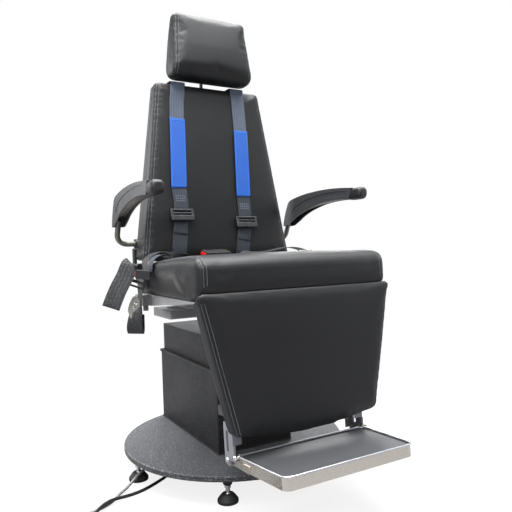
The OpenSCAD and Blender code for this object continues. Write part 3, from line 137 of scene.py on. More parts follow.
# Fine bumps of moulded plastic, rubber and coarse paint
speckle, given, result = effect("speckle", [("Size", "Float", 900.0), ("Share", "Float", 0.5)],
                                [("Height", "Float"), ("Mask", "Float")])
place = add(speckle, "TexCoord").outputs["Object"]
cells = add(speckle, "TexVoronoi", {"Vector": place, "Scale": given["Size"]})
specks = add(speckle, "TexNoise", {"Vector": place, "Scale": given["Size"], "Detail": 2.0})
speckle.links.new(calc(speckle, "SUBTRACT", 1.0, cells.outputs["Distance"]), result["Height"])
over_share = calc(speckle, "SUBTRACT", specks.outputs[0], given["Share"])
mask = add(speckle, "Clamp", {"Value": calc(speckle, "MULTIPLY", over_share, 9.0)}).outputs[0]
speckle.links.new(mask, result["Mask"])

# Edges lightened where handling has rubbed them; on the black slides, buckles and adjusters this is
# also painted highlight
edge_wear_and_highlight, given, result = effect("edge_wear_and_highlight_mask", [("Amount", "Float", 0.3)], [("Mask", "Float")])
point = add(edge_wear_and_highlight, "NewGeometry").outputs["Pointiness"]
place = add(edge_wear_and_highlight, "TexCoord").outputs["Object"]
patchy = add(edge_wear_and_highlight, "TexNoise", {"Vector": place, "Scale": 60.0, "Detail": 4.0}).outputs[0]
raised = calc(edge_wear_and_highlight, "MULTIPLY", calc(edge_wear_and_highlight, "SUBTRACT", point, 0.51), 14.0)
mask = add(edge_wear_and_highlight, "Clamp", {"Value": calc(edge_wear_and_highlight, "MULTIPLY", raised, patchy)}).outputs[0]
edge_wear_and_highlight.links.new(calc(edge_wear_and_highlight, "MULTIPLY", mask, given["Amount"]), result["Mask"])


def use(tree, group, **values):
    return add(tree, "Group", values, node_tree=group).outputs


def finish(name, colour, roughness, metallic=0.0, mottle=0.25, spread=0.12, grain=None,
           relief=(), specks=None, wear_and_highlight=0.0, waves=0.25, **more):
    """A finish of that colour, with its grain as (size, depth in metres), other relief as
    (height socket maker, depth) and specks as (colour, size, share)."""
    made = bpy.data.materials.new(name)
    made.use_nodes = True
    tree = made.node_tree
    shader = tree.nodes["Principled BSDF"]
    shader.inputs["Metallic"].default_value = metallic
    for key, value in more.items():
        shader.inputs[key.replace("_", " ")].default_value = value
    varied = use(tree, uneven, Colour=(*colour, 1), Roughness=roughness, Mottle=mottle,
                 Spread=spread)
    tone = varied["Colour"]
    if specks:
        dots = use(tree, speckle, Size=specks[1], Share=specks[2])["Mask"]
        tone = blend(tree, dots, tone, (*specks[0], 1))
    if wear_and_highlight:
        lighter = (*[min(1, 0.12 + c * 1.6) for c in colour], 1)
        tone = blend(tree, use(tree, edge_wear_and_highlight, Amount=wear_and_highlight)["Mask"], tone, lighter)
    tree.links.new(tone, shader.inputs["Base Color"])
    tree.links.new(varied["Roughness"], shader.inputs["Roughness"])
    normal = add(tree, "Bump", {"Height": varied["Height"], "Distance": 0.0003,
                                "Strength": waves * (1 - 0.85 * metallic)})
    for height, depth in [(grainy(grain[0]), grain[1])] if grain else relief:
        normal = add(tree, "Bump", {"Height": height(tree), "Distance": depth, "Strength": 1.0,
                                    "Normal": normal.outputs[0]})
    tree.links.new(normal.outputs[0], shader.inputs["Normal"])
    return made


def grainy(scale):
    return lambda tree: use(tree, speckle, Size=scale)["Height"]


def smooth_line(points, steps):
    """A curve through all the points, with that many steps between each two."""
    points = [np.array(p, float) for p in points]
    ends = [2 * points[0] - points[1]] + points + [2 * points[-1] - points[-2]]
    line = []
    for a, b, c, d in zip(ends, ends[1:], ends[2:], ends[3:]):
        for k in range(steps):
            t = k / steps
            line.append((2 * b + (c - a) * t + (2 * a - 5 * b + 4 * c - d) * t * t
                         + (3 * b - a - 3 * c + d) * t ** 3) / 2)
    return line + [points[-1]]


def pile_of_loops(middle, turns, inner, r, start):
    """Loops that wind in on the floor, then out again one layer higher, in millimetres."""
    gap = 2 * r + 0.6
    half = turns / 2
    rings = 24
    loops = []
    for k in range(int(turns * rings) + 1):
        t = k / rings
        q = inner + gap * (half / 2 - min(t, turns - t))
        up = min(max(t - half + 0.25, 0) * 2, 1)
        angle = math.radians(360 * t + start)
        loops.append(np.array(middle, float)
                     + (q * math.cos(angle), q * math.sin(angle), r + up * gap))
    return loops


def free_cable(name, free, loops, r, material):
    """A round cable of radius r along the free points and then the loops."""
    run_in = (loops[1] - loops[0]) / np.linalg.norm(loops[1] - loops[0])
    path = smooth_line(free + [loops[0] - 3 * r * run_in], 2) + loops
    shape = bpy.data.curves.new(name, "CURVE")
    shape.dimensions = "3D"
    shape.bevel_depth = r / 1000
    shape.bevel_resolution = 5
    shape.use_fill_caps = True
    line = shape.splines.new("POLY")
    line.points.add(len(path) - 1)
    for spot, point in zip(line.points, path):
        spot.co = (*(point / 1000), 1)
    shape.materials.append(material)
    piece = placed(name, shape)
    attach(piece, "base")
    return piece


grey_sheath = finish("grey_cable_sheath", (0.26, 0.26, 0.27), 0.5, grain=(1500, 0.00012))
black_sheath = finish("black_cable_sheath", (0.014, 0.014, 0.015), 0.48, grain=(1500, 0.00012))
grey_line = free_cable("grey_cable_curve", [
    [-70, 96, 40], [-82, 96, 40], [-124, 90, 38], [-170, 72, 37], [-215, 44, 37], [-262, 10, 34],
    [-300, -7, 31], [-331, -27, 25], [-356, -43, 14], [-376, -57, 7], [-401, -77, 4],
    [-429, -110, 4], [-459, -132, 4], [-496, -146, 4], [-540, -149, 4], [-584, -149, 4]],
    pile_of_loops([-597, -222, 0], 6.25, 44, 4, 124), 4, grey_sheath)
black_line = free_cable("black_cable_curve", [
    [-70, 64, 40], [-82, 64, 40], [-122, 56, 36], [-164, 34, 27], [-206, -2, 14],
    [-244, -32, 4.5], [-275, -55, 4.5], [-302, -72, 4.5], [-335, -90, 4.5], [-373, -101, 4.5],
    [-411, -113, 9], [-442, -127, 13.5], [-476, -152, 12], [-506, -190, 6], [-524, -238, 4.5],
    [-533, -282, 4.5]],
    pile_of_loops([-470, -315, 0], 6.25, 50, 4.5, 180), 4.5, black_sheath)
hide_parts("grey_cable", "grey_coil")
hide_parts("black_cable", "black_coil")


def modify(piece, name, kind, **settings):
    made = piece.modifiers.new(name, kind)
    for key, value in settings.items():
        setattr(made, key, value)


def dress(name, material, edge=0.0008, sharp=30, rounds=2):
    """Gives a CAD piece its finish, whole flat faces and softly broken edges."""
    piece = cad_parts[name]
    piece.data.materials.clear()
    piece.data.materials.append(material)
    for face in piece.data.polygons:
        face.use_smooth = True
    modify(piece, "joined", "WELD", merge_threshold=0.00003)
    modify(piece, "flat", "DECIMATE", decimate_type="DISSOLVE", angle_limit=math.radians(0.6))
    modify(piece, "edges", "BEVEL", width=edge, segments=rounds, limit_method="ANGLE",
           angle_limit=math.radians(sharp), harden_normals=False)
    modify(piece, "shading", "WEIGHTED_NORMAL", weight=60, keep_sharp=False)


plug_finish = finish("plug_black", (0.012, 0.012, 0.013), 0.42, grain=(1100, 0.00016))
dress("black_plug", plug_finish, 0.0015)
dress("grey_plug", finish("grey_plastic", (0.2, 0.2, 0.21), 0.45, grain=(1100, 0.00014)), 0.0015)
dress("cable_entry", plug_finish, 0.001)

# The base plate and feet
# A thick turned plate with a satin speckled paint stands on six feet: a bright stem with its nut
# runs through a boss into a rounded rubber pad.

disc_paint = finish("disc_grey", (0.062, 0.063, 0.068), 0.42, mottle=0.4, spread=0.25,
                    relief=[(grainy(330), 0.0011), (grainy(900), 0.0003)],
                    specks=((0.3, 0.3, 0.32), 260.0, 0.56), wear_and_highlight=0.35)
dress("base_disc", disc_paint, 0.0012)
steel = finish("steel", (0.6, 0.6, 0.6), 0.28, 1.0, mottle=0.2, spread=0.2,
               grain=(1600, 0.00005), wear_and_highlight=0.2)
dress("foot_stems", steel, 0.0007)


def piece_of(name, points, faces, material, body, smooth=True):
    shape = bpy.data.meshes.new(name)
    shape.from_pydata([tuple(p) for p in points], [], faces)
    shape.update()
    for face in shape.polygons:
        face.use_smooth = smooth
    shape.materials.append(material)
    piece = placed(name, shape)
    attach(piece, body)
    return piece


def walls(first, rings, n, closed=False):
    """Faces between rings of n points each, numbered from first on."""
    pairs = [(j, j + 1) for j in range(rings - 1)] + ([(rings - 1, 0)] if closed else [])
    return [(first + j * n + i, first + j * n + (i + 1) % n, first + m * n + (i + 1) % n,
             first + m * n + i) for j, m in pairs for i in range(n)]


# A thin painted cap over the top of each stem
stem_circle = 0.322
disc_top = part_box("base_disc")[1][2]
points, faces = [], []
for k in range(6):
    angle = math.radians(180 + 60 * k)
    faces += walls(len(points), 2, 24) + [tuple(range(len(points) + 24, len(points) + 48))]
    for reach, rise in ((0.0094, 0.0), (0.0088, 0.0004)):
        for t in (turn * math.pi / 12 for turn in range(24)):
            points.append((stem_circle * math.cos(angle) + reach * math.cos(t),
                           stem_circle * math.sin(angle) + reach * math.sin(t), disc_top + rise))
piece_of("stem_caps", points, faces, disc_paint, "base", smooth=False)
black_plastic = finish("black_plastic", (0.013, 0.013, 0.014), 0.46, grain=(1000, 0.0002))
dress("foot_bosses", black_plastic, 0.001)
rubber = finish("black_rubber", (0.016, 0.016, 0.016), 0.66, mottle=0.4, grain=(700, 0.0002))
dress("foot_pads", rubber, 0.0012, sharp=25)

# The casings and the column
# Two black casings with a coarse crinkled paint telescope over an aluminium column, the upper one
# with a lip round its edge. The actuator, motor and bearing are inside.

casing_paint = finish("casing_black", (0.004, 0.004, 0.0045), 0.46, mottle=0.5, spread=0.25,
                      relief=[(grainy(300), 0.0014), (grainy(900), 0.0003)],
                      specks=((0.04, 0.04, 0.043), 250.0, 0.58), wear_and_highlight=0.3,
                      Specular_IOR_Level=0.35)
dress("lower_casing", casing_paint, 0.0018)
dress("upper_casing", casing_paint, 0.0018)

# Fine lines that run along Z, as drawn or brushed metal has
lines, given, result = effect("drawn_lines", [("Along", "Vector", (900.0, 900.0, 12.0))],
                              [("Height", "Float")])
place = add(lines, "TexCoord").outputs["Object"]
stretched = add(lines, "VectorMath", {0: place, 1: given["Along"]}, operation="MULTIPLY").outputs[0]
drawn = add(lines, "TexNoise", {"Vector": stretched, "Scale": 1.0, "Detail": 5.0}).outputs[0]
lines.links.new(drawn, result["Height"])


def drawn_along(x, y, z):
    return lambda tree: use(tree, lines, Along=(x, y, z))["Height"]


column_metal = finish("column_aluminium", (0.62, 0.62, 0.63), 0.33, 1.0,
                      relief=[(drawn_along(900, 900, 12), 0.0001)])
dark_metal = finish("dark_metal", (0.05, 0.05, 0.055), 0.4, 0.7, grain=(900, 0.00012), wear_and_highlight=0.4)
motor_iron = finish("motor_iron", (0.16, 0.15, 0.14), 0.45, 0.9, grain=(800, 0.0001))
for name in ("outer_column", "inner_column"):
    dress(name, column_metal)
for name in ("lift_actuator", "motor_housing", "headrest_post"):
    dress(name, dark_metal)
for name in ("motor_stator", "motor_rotor"):
    dress(name, motor_iron)
for name in ("actuator_rod", "bearing_outer_ring", "bearing_balls", "bearing_inner_ring",
             "spindle", "legrest_pins", "recline_pins", "legrest_carriage"):
    dress(name, steel, 0.0004)
dress("drive_electronics", black_plastic)

# The seat frame and pan
# A welded frame of flat plate carries a folded pan, both powder-coated grey. The backrest's and
# legrest's own frames behind their cushions are black.

frame_paint = finish("frame_grey", (0.38, 0.38, 0.385), 0.4, mottle=0.2, grain=(900, 0.00016),
                     wear_and_highlight=0.25)
frame_black = finish("frame_black", (0.013, 0.013, 0.014), 0.42, mottle=0.3, grain=(900, 0.00016),
                     wear_and_highlight=0.3)
dress("carrier_frame", frame_paint, 0.001)
dress("seat_tray", frame_paint, 0.001)
dress("back_frame", frame_black, 0.0012)
dress("legrest_frame", frame_black, 0.0012)

# The upholstery
# Black grained leather cloth over foam. Each cushion swells between its sewn edges, pulls in at
# its seams and has a row of stitches along them.

# Creased cells of leather cloth, with finer pores on them
leather, given, result = effect("leather_grain", [("Size", "Float", 420.0)],
                                [("Height", "Float")])
place = add(leather, "TexCoord").outputs["Object"]
bend = add(leather, "TexNoise", {"Vector": place, "Scale": 90.0, "Detail": 2.0}).outputs["Color"]
shift = add(leather, "VectorMath", {0: bend, 1: (0.004, 0.004, 0.004)}, operation="MULTIPLY")
moved = add(leather, "VectorMath", {0: place, 1: shift.outputs[0]}).outputs[0]
creases = add(leather, "TexVoronoi", {"Vector": moved, "Scale": given["Size"]},
              feature="DISTANCE_TO_EDGE").outputs["Distance"]
level_top = calc(leather, "MINIMUM", calc(leather, "MULTIPLY", creases, 4.0), 1.0)
swollen = calc(leather, "POWER", level_top, 0.5)
pores = add(leather, "TexNoise", {"Vector": place, "Scale": 1900.0, "Detail": 2.0}).outputs[0]
leather.links.new(calc(leather, "MULTIPLY_ADD", pores, 0.3, swollen), result["Height"])


def leathery(scale):
    return lambda tree: use(tree, leather, Size=scale)["Height"]


upholstery = finish("upholstery", (0.0052, 0.0052, 0.0058), 0.45, mottle=0.3, spread=0.14,
                    relief=[(leathery(420.0), 0.0002)], waves=0.15,
                    Coat_Weight=0.04, Coat_Roughness=0.3, Specular_IOR_Level=0.42)
thread = finish("stitching", (0.19, 0.2, 0.225), 0.45, grain=(1500, 0.0001))


def between(w, table):
    return float(np.interp(w, [row[0] for row in table], [row[1] for row in table]))


def section(a, b, r, low, high):
    """A closed outline with rounded corners, crowned by low on its -Y side and high on +Y."""
    corners = ((a - r, b - r, 0), (r - a, b - r, 90), (r - a, r - b, 180), (a - r, r - b, 270))
    points = []
    for k, (x, y, start) in enumerate(corners):
        for step in range(6):
            angle = math.radians(start + 18 * step)
            points.append((x + r * math.cos(angle), y + r * math.sin(angle)))
        last = points[-1]
        nx, ny, begin = corners[(k + 1) % 4]
        end = (nx + r * math.cos(math.radians(begin)), ny + r * math.sin(math.radians(begin)))
        for step in range(1, 12):
            points.append((last[0] + (end[0] - last[0]) * step / 12,
                           last[1] + (end[1] - last[1]) * step / 12))
    return [(x, y + (high if y > 0 else -low) * max(0, 1 - (x / a) ** 2)) for x, y in points]


def skin(rings):
    """Points and faces of a closed skin over rings of as many points each, in millimetres."""
    n = len(rings[0])
    points = [Vector(p) / 1000 for ring in rings for p in ring]
    ends = [tuple(range(n))[::-1], tuple(range((len(rings) - 1) * n, len(rings) * n))]
    return points, ends + walls(0, len(rings), n)


def modelled(piece):
    """The piece's mesh with its modifiers in it, and none left."""
    graph = bpy.context.evaluated_depsgraph_get()
    done = bpy.data.meshes.new_from_object(piece.evaluated_get(graph))
    piece.modifiers.clear()
    piece.data = done
    for face in done.polygons:
        face.use_smooth = True


def points_of(shape):
    flat = np.empty(len(shape.vertices) * 3)
    shape.vertices.foreach_get("co", flat)
    return flat.reshape(-1, 3)


def stuffed(name, rings, body, held, cap, node):
    """A cushion that cloth simulation swells out of the rings by no more than cap, in metres, and
    that its board holds where held(x, y, z) is true."""
    points, faces = skin(rings)
    cushion = piece_of(name, points, faces, upholstery, body)
    modify(cushion, "cells", "REMESH", mode="VOXEL", voxel_size=0.0052)
    modelled(cushion)
    start = points_of(cushion.data)
    grip = cushion.vertex_groups.new(name="held")
    grip.add([i for i, p in enumerate(start) if held(*(p * 1000))], 1.0, "REPLACE")
    cloth = cushion.modifiers.new("cloth", "CLOTH")
    cloth.settings.quality = 4
    cloth.settings.use_pressure = True
    cloth.settings.uniform_pressure_force = 4
    cloth.settings.effector_weights.gravity = 0
    cloth.settings.vertex_group_mass = "held"
    cloth.collision_settings.use_collision = False
    for step in range(1, 21):
        scene.frame_set(step)
    graph = bpy.context.evaluated_depsgraph_get()
    end = points_of(cushion.evaluated_get(graph).data)
    scene.frame_set(1)
    cushion.modifiers.clear()
    move = end - start
    length = np.linalg.norm(move, axis=1, keepdims=True)
    swollen = start + move / np.maximum(length, 1e-9) * (cap * (1 - np.exp(-length / cap)))
    cushion.data.vertices.foreach_set("co", swollen.ravel())
    cushion.data.update()
    modify(cushion, "even", "SMOOTH", iterations=2, factor=0.45)
    modify(cushion, "finer", "SUBSURF", levels=1)
    modelled(cushion)
    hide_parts(node)
    return cushion


def surface_of(piece):
    return BVHTree.FromObject(piece, bpy.context.evaluated_depsgraph_get())


def laid_on(skin_tree, line, lift=0.0):
    """The line's points moved onto the surface, lifted off it, with the surface's directions."""
    found = [skin_tree.find_nearest(Vector(point) / 1000)[:2] for point in line]
    return [(spot + normal * lift, normal) for spot, normal in found]


def sewn(name, cushion, body, paths):
    """Draws the cushion in along each path, lays a thin welt there and a row of stitches by it."""
    depth, reach, welt = 0.0013, 0.0045, 0.0012
    pucker_depth, pucker_reach, pucker_length = 0.00035, 0.013, 0.021
    tree = surface_of(cushion)
    co = points_of(cushion.data)
    normals = np.empty(len(co) * 3)
    cushion.data.vertices.foreach_get("normal", normals)
    normals = normals.reshape(-1, 3)
    push = np.zeros(len(co))
    for path in paths:
        spots = np.array([p for p, _ in laid_on(tree, path)])
        near = np.full(len(co), 1.0)
        along = np.zeros(len(co))
        run = 0.0
        inside = np.nonzero((co > spots.min(0) - 0.03).all(1)
                            & (co < spots.max(0) + 0.03).all(1))[0]
        for p, q in zip(spots, spots[1:]):
            span = q - p
            size = max(float(span @ span), 1e-12)
            t = np.clip(((co[inside] - p) @ span) / size, 0, 1)
            gap = np.linalg.norm(co[inside] - p - t[:, None] * span, axis=1)
            closer = gap < near[inside]
            near[inside[closer]] = gap[closer]
            along[inside[closer]] = run + t[closer] * math.sqrt(size)
            run += math.sqrt(size)
        groove = depth * np.exp(-(near / reach) ** 2)
        pucker = pucker_depth * np.exp(-(near / pucker_reach) ** 2) * np.sin(
            along * 2 * math.pi / pucker_length + 2 * np.sin(along * 37))
        push = np.where(np.abs(groove) > np.abs(push), groove, push) + pucker * (near < 0.03)
    cushion.data.vertices.foreach_set("co", (co - normals * push[:, None]).ravel())
    cushion.data.update()
    tree = surface_of(cushion)
    points, faces = [], []
    for path in paths:
        spots = laid_on(tree, smooth_line(path, 2), 0.0002)
        faces += walls(len(points), len(spots), 8)
        for spot, normal, side in sideways(spots):
            points += [spot + welt * (math.cos(t) * side + math.sin(t) * normal)
                       for t in (k * math.pi / 4 for k in range(8))]
    piece_of(name + "_welt", points, faces, upholstery, body)
    rows = [laid_on(tree, evenly(beside(path, tree, gap), 5.5), 0.0003)
            for path in paths for gap in (-4.2, 4.2)]
    sew(name + "_stitches", rows, body)


def sideways(spots):
    """Each spot of a line on a surface, with its normal and the direction across the line."""
    for k, (spot, normal) in enumerate(spots):
        ahead = (spots[min(k + 1, len(spots) - 1)][0] - spots[max(k - 1, 0)][0]).normalized()
        yield spot, normal, normal.cross(ahead).normalized()


def evenly(path, gap):
    """Points that far apart along the path, in millimetres."""
    path = [np.array(p, float) for p in path]
    runs = [0.0]
    for p, q in zip(path, path[1:]):
        runs.append(runs[-1] + float(np.linalg.norm(q - p)))
    return [np.array([np.interp(s, runs, [p[k] for p in path]) for k in range(3)])
            for s in np.arange(0, runs[-1], gap)]


def beside(path, tree, offset):
    """A line that runs beside the path on the surface, on the side nearer the piece's middle."""
    spots = laid_on(tree, smooth_line(path, 2))
    centre = sum((s for s, _ in spots), Vector()) / len(spots)
    moved = []
    for spot, _, side in sideways(spots):
        if side.x * centre.x > 0 or (abs(centre.x) < 0.02 and side.z > 0):
            side = -side
        moved.append((spot + side * offset / 1000) * 1000)
    return moved


def sew(name, rows, body, length=0.0038, thick=0.0007, material=None):
    """Short raised stitches at the rows' points, each along its row."""
    points, faces = [], []
    for row in rows:
        for k, (spot, normal) in enumerate(row):
            ahead = row[min(k + 1, len(row) - 1)][0] - row[max(k - 1, 0)][0]
            if ahead.length < 1e-6:
                continue
            ahead.normalize()
            side = normal.cross(ahead).normalized() * thick
            lift = normal * thick
            first = len(points)
            for share, wide in ((-0.5, 0.35), (-0.3, 1.0), (0.3, 1.0), (0.5, 0.35)):
                middle = spot + ahead * length * share
                for turn in range(6):
                    a = turn * math.pi / 3
                    points.append(middle + wide * (math.cos(a) * side + math.sin(a) * lift))
            faces += walls(first, 4, 6)
            faces.append(tuple(first + i for i in range(5, -1, -1)))
            faces.append(tuple(first + 18 + i for i in range(6)))
    return piece_of(name, points, faces, material or thread, body)


# The seat cushion
# A wide pad with a full rolled front edge, a flat underside on its pan and a sewn end panel on
# each side.

seat_top = [[0, .58], [.008, .66], [.022, .72], [.045, .775], [.1, .82], [.2, .872], [.356, .928],
            [.62, .985], [.8, 1], [.87, 1], [.92, .985], [.95, .955], [.972, .9], [.987, .835],
            [.996, .77], [1, .7]]
seat_low = [[0, .12], [.008, .05], [.022, .01], [.045, 0], [.84, 0], [.987, .13], [1, .17]]
seat_inset = [[0, 1], [.008, .55], [.022, .24], [.045, .05], [.1, 0], [.93, 0], [.95, .06],
              [.972, .24], [.987, .5], [.996, .78], [1, 1.1]]


def seat_height(w, share):
    """The height at the share w of the depth, from the back, over the pan's 557.3."""
    return 557.3 + 112 * between(w, share)


seat_rear, seat_deep, seat_half = 5, 435, 295
rings = []
steps = {row[0] for row in seat_top + seat_inset + seat_low} | set(np.linspace(.06, .92, 20))
for w in sorted(steps):
    inset = between(w, seat_inset)
    low, top = seat_height(w, seat_low) + 0.8, seat_height(w, seat_top) - 2
    a, b = seat_half - 18 * inset, (top - low) / 2
    y = seat_rear - seat_deep * (0.003 + 0.996 * w)
    rings.append([(q[0], y, (top + low) / 2 + q[1])
                  for q in section(a, b, min(17, b * 0.8), 0, 3 * (1 - inset / 2))])
seat = stuffed("seat_pad", rings, "seat", lambda x, y, z: z < 563 or y > -2, 0.0032,
               "seat_cushion")
seams = []
for side in (-1, 1):
    run = [(side * 276, seat_rear - seat_deep * w, seat_height(w, seat_top) + 2)
           for w in (0.06, .12, .2, .3, .4, .5, .6, .7, .8, .87, .92, .95, .972, .987)]
    for y, z in ((-429, seat_height(.996, seat_top)), (-431, 630), (-431, 612), (-429, 598)):
        run.append((side * 274, y, z))
    seams.append(run)
sewn("seat_pad", seat, "seat", seams)

# The backrest cushion
# A tall foam pad that narrows and thins upwards, on a board behind, with boxed sides and a seam
# along each side of its face.

back_foot, back_tall = 652, 591
back_lean = 5.8


def back_y(z):
    return 40 + (z - back_foot) * math.tan(math.radians(back_lean))


def back_z(s):
    return back_foot + back_tall * s


def back_width(s):
    return 271 + (193 - 271) * s


rings = []
back_inset = [[0, 1], [.006, .5], [.016, .16], [.032, 0], [.968, 0], [.984, .16], [.994, .5],
              [1, 1]]
for s in sorted({row[0] for row in back_inset} | set(np.linspace(0.05, 0.95, 24))):
    inset = between(s, back_inset)
    z = back_z(0.002 + 0.997 * s)
    t = 80 + (31 - 80) * s
    a, b = back_width(s) - 13 * inset + 2, t / 2 - 7.8 * inset - 1.2
    rings.append([(q[0], back_y(z) + t / 2 + 0.8 + q[1], z)
                  for q in section(a, b, min(13, b * 0.8), 6 * math.sin(math.pi * s), 0)])
back = stuffed("back_pad", rings, "backrest",
               lambda x, y, z: y > back_y(z) + 80 - 49 * (z - back_foot) / back_tall - 7,
               0.003, "back_cushion")
seams = [[(side * (back_width(s) - 9), back_y(back_z(s)) + 1, back_z(s))
          for s in np.linspace(0.02, 0.975, 22)] for side in (-1, 1)]
sewn("back_pad", back, "backrest", seams)

# The headrest cushion
# A thick foam bolster on a post, deepest low down and thinning to its top edge, sewn along both
# sides.

head_depth = [[0, .5], [.01, .62], [.03, .76], [.065, .88], [.12, .96], [.2, 1], [.5, .83],
              [.78, .62], [.92, .52], [.96, .47], [.985, .4], [1, .3]]
head_inset = [[0, 1], [.01, .66], [.03, .36], [.065, .14], [.12, 0], [.92, 0], [.96, .1],
              [.985, .4], [1, .8]]
head_y, head_foot, head_tall = 94, 1252, 219


def head_half(w):
    return 46 * between(w, head_depth)


rings = []
for w in sorted({row[0] for row in head_depth + head_inset} | set(np.linspace(.16, .9, 14))):
    inset = between(w, head_inset)
    a, b = 150 - 16 * w - 19 * inset, head_half(w) - 1.4
    rings.append([(q[0], head_y + q[1], head_foot + head_tall * (0.002 + 0.997 * w))
                  for q in section(a, b, min(20, b * 0.8), 4 * math.sin(math.pi * w), 0)])
head = stuffed("head_pad", rings, "headrest",
               lambda x, y, z: y > head_y + head_half((z - head_foot) / head_tall) - 8, 0.0045,
               "headrest_cushion")
seams = [[(side * (139 - 16 * w), head_y - head_half(w), head_foot + head_tall * w)
          for w in np.linspace(0.03, 0.96, 14)] for side in (-1, 1)]
sewn("head_pad", head, "headrest", seams)

# The legrest cushion
# A calf pad of foam on its frame. It widens towards the seat, where its top edge is sloped,
# and sags a little at its lower edge.

leg_lean, leg_front, leg_hinge, leg_tall = math.radians(3.9), -434, 578, 350


def from_leg(x, y, z):
    """A point of the legrest's own frame, whose Y runs back from its front face, in the chair's."""
    return (x, y * math.cos(leg_lean) + z * math.sin(leg_lean) + leg_front,
            -y * math.sin(leg_lean) + z * math.cos(leg_lean) + leg_hinge)


leg_inset = [[0, 1], [.01, .5], [.026, .16], [.05, 0], [.95, 0], [.974, .16], [.99, .5], [1, 1]]
rings = []
for w in sorted({row[0] for row in leg_inset} | set(np.linspace(.08, .93, 18))):
    inset = between(w, leg_inset)
    a, b = 224 + 81 * w - 13 * inset, 22 - 6 * inset - 1
    slope = 38 * max(0, (w - 0.88) / 0.12)
    z = -leg_tall * (1 - w) + 12 * w ** 4 + 1
    sag = 20 * (1 - w) ** 3
    rings.append([from_leg(q[0], 22 + q[1],
                           z - slope * (0.5 + q[1] / 44) - sag * (1 - (q[0] / a) ** 2))
                  for q in section(a, b, min(12, b * 0.8), 5 * math.sin(math.pi * w), 0)])
leg = stuffed("leg_pad", rings, "legrest",
              lambda x, y, z: y > leg_front + 44 - (leg_hinge - z) * math.tan(leg_lean) - 6,
              0.0042, "legrest_cushion")
seams = [[from_leg(side * (210 + 81 * w), 1, -leg_tall * (1 - w))
          for w in np.linspace(0.03, 0.94, 16)] for side in (-1, 1)]
sewn("leg_pad", leg, "legrest", seams)

# The shoulder straps
# Each strap comes over the top of the backrest, through a padded blue sleeve, a three-bar slide
# and down to its end. The webbing shows its ribs.

# Ribs across the band with a raised thread at each edge, from UVs in metres, and a Shade share that
# is low where painted shade darkens the grooves
weave, given, result = effect("weave", [("Rib", "Float", 0.0021)],
                              [("Height", "Float"), ("Shade", "Float")])
flat = add(weave, "SeparateXYZ", {0: add(weave, "UVMap").outputs[0]}).outputs
turns = calc(weave, "DIVIDE", flat["Y"], given["Rib"])
twill = calc(weave, "PINGPONG", calc(weave, "MULTIPLY", flat["X"], 190.0), 1.0)
ribs = calc(weave, "MULTIPLY", calc(weave, "ADD", turns, twill), 2 * math.pi)
ribs = calc(weave, "SINE", ribs)
yarns = calc(weave, "SINE", calc(weave, "MULTIPLY", flat["X"], 2 * math.pi / 0.0013))
bands = calc(weave, "SINE", calc(weave, "MULTIPLY", flat["X"], 2 * math.pi / 0.0083))
yarns = calc(weave, "MULTIPLY_ADD", bands, 1.4, yarns)
raised = calc(weave, "MULTIPLY_ADD", yarns, 0.35, ribs)
weave.links.new(calc(weave, "MULTIPLY_ADD", raised, 0.35, 0.5), result["Height"])
shade = calc(weave, "MULTIPLY_ADD", raised, 0.37, 0.5)
weave.links.new(add(weave, "Clamp", {"Value": shade}).outputs[0], result["Shade"])


def webbing(name, colour, groove_shade_colour, roughness, rib, depth):
    """A woven finish, with painted shade darkening the colour between its ribs."""
    made = finish(name, colour, roughness, mottle=0.4, Sheen_Weight=0.05, Sheen_Roughness=0.5,
                  relief=[(lambda tree: use(tree, weave, Rib=rib)["Height"], depth)])
    tree = made.node_tree
    shader = tree.nodes["Principled BSDF"]
    tone = shader.inputs["Base Color"].links[0].from_socket
    # Painted shade: the colour darkens in the low parts of the weave, between the ribs
    groove_shade_share = use(tree, weave, Rib=rib)["Shade"]
    tree.links.new(blend(tree, groove_shade_share, (*groove_shade_colour, 1), tone), shader.inputs["Base Color"])
    return made


grey_webbing = webbing("webbing_blue_grey", (0.11, 0.14, 0.2), (0.035, 0.045, 0.07), 0.5, 0.004,
                       0.0006)
black_webbing = webbing("belt_black", (0.018, 0.019, 0.024), (0.006, 0.006, 0.008), 0.42, 0.004,
                        0.0007)
blue_cloth = webbing("sleeve_blue", (0.011, 0.12, 0.54), (0.007, 0.08, 0.42), 0.5, 0.0024, 0.0003)

# Painted shade: below the sleeves the blue-grey webbing is darkened towards the bottom, nearly to
# black
tree = grey_webbing.node_tree
shader = tree.nodes["Principled BSDF"]
tone = shader.inputs["Base Color"].links[0].from_socket
height = add(tree, "SeparateXYZ", {0: add(tree, "TexCoord").outputs["Object"]}).outputs["Z"]
lower = add(tree, "MapRange", {"Value": height, "From Min": 0.86, "From Max": 0.93,
                               "To Min": 0.75, "To Max": 0.0}).outputs[0]
tree.links.new(blend(tree, lower, tone, (0.008, 0.011, 0.016, 1)), shader.inputs["Base Color"])


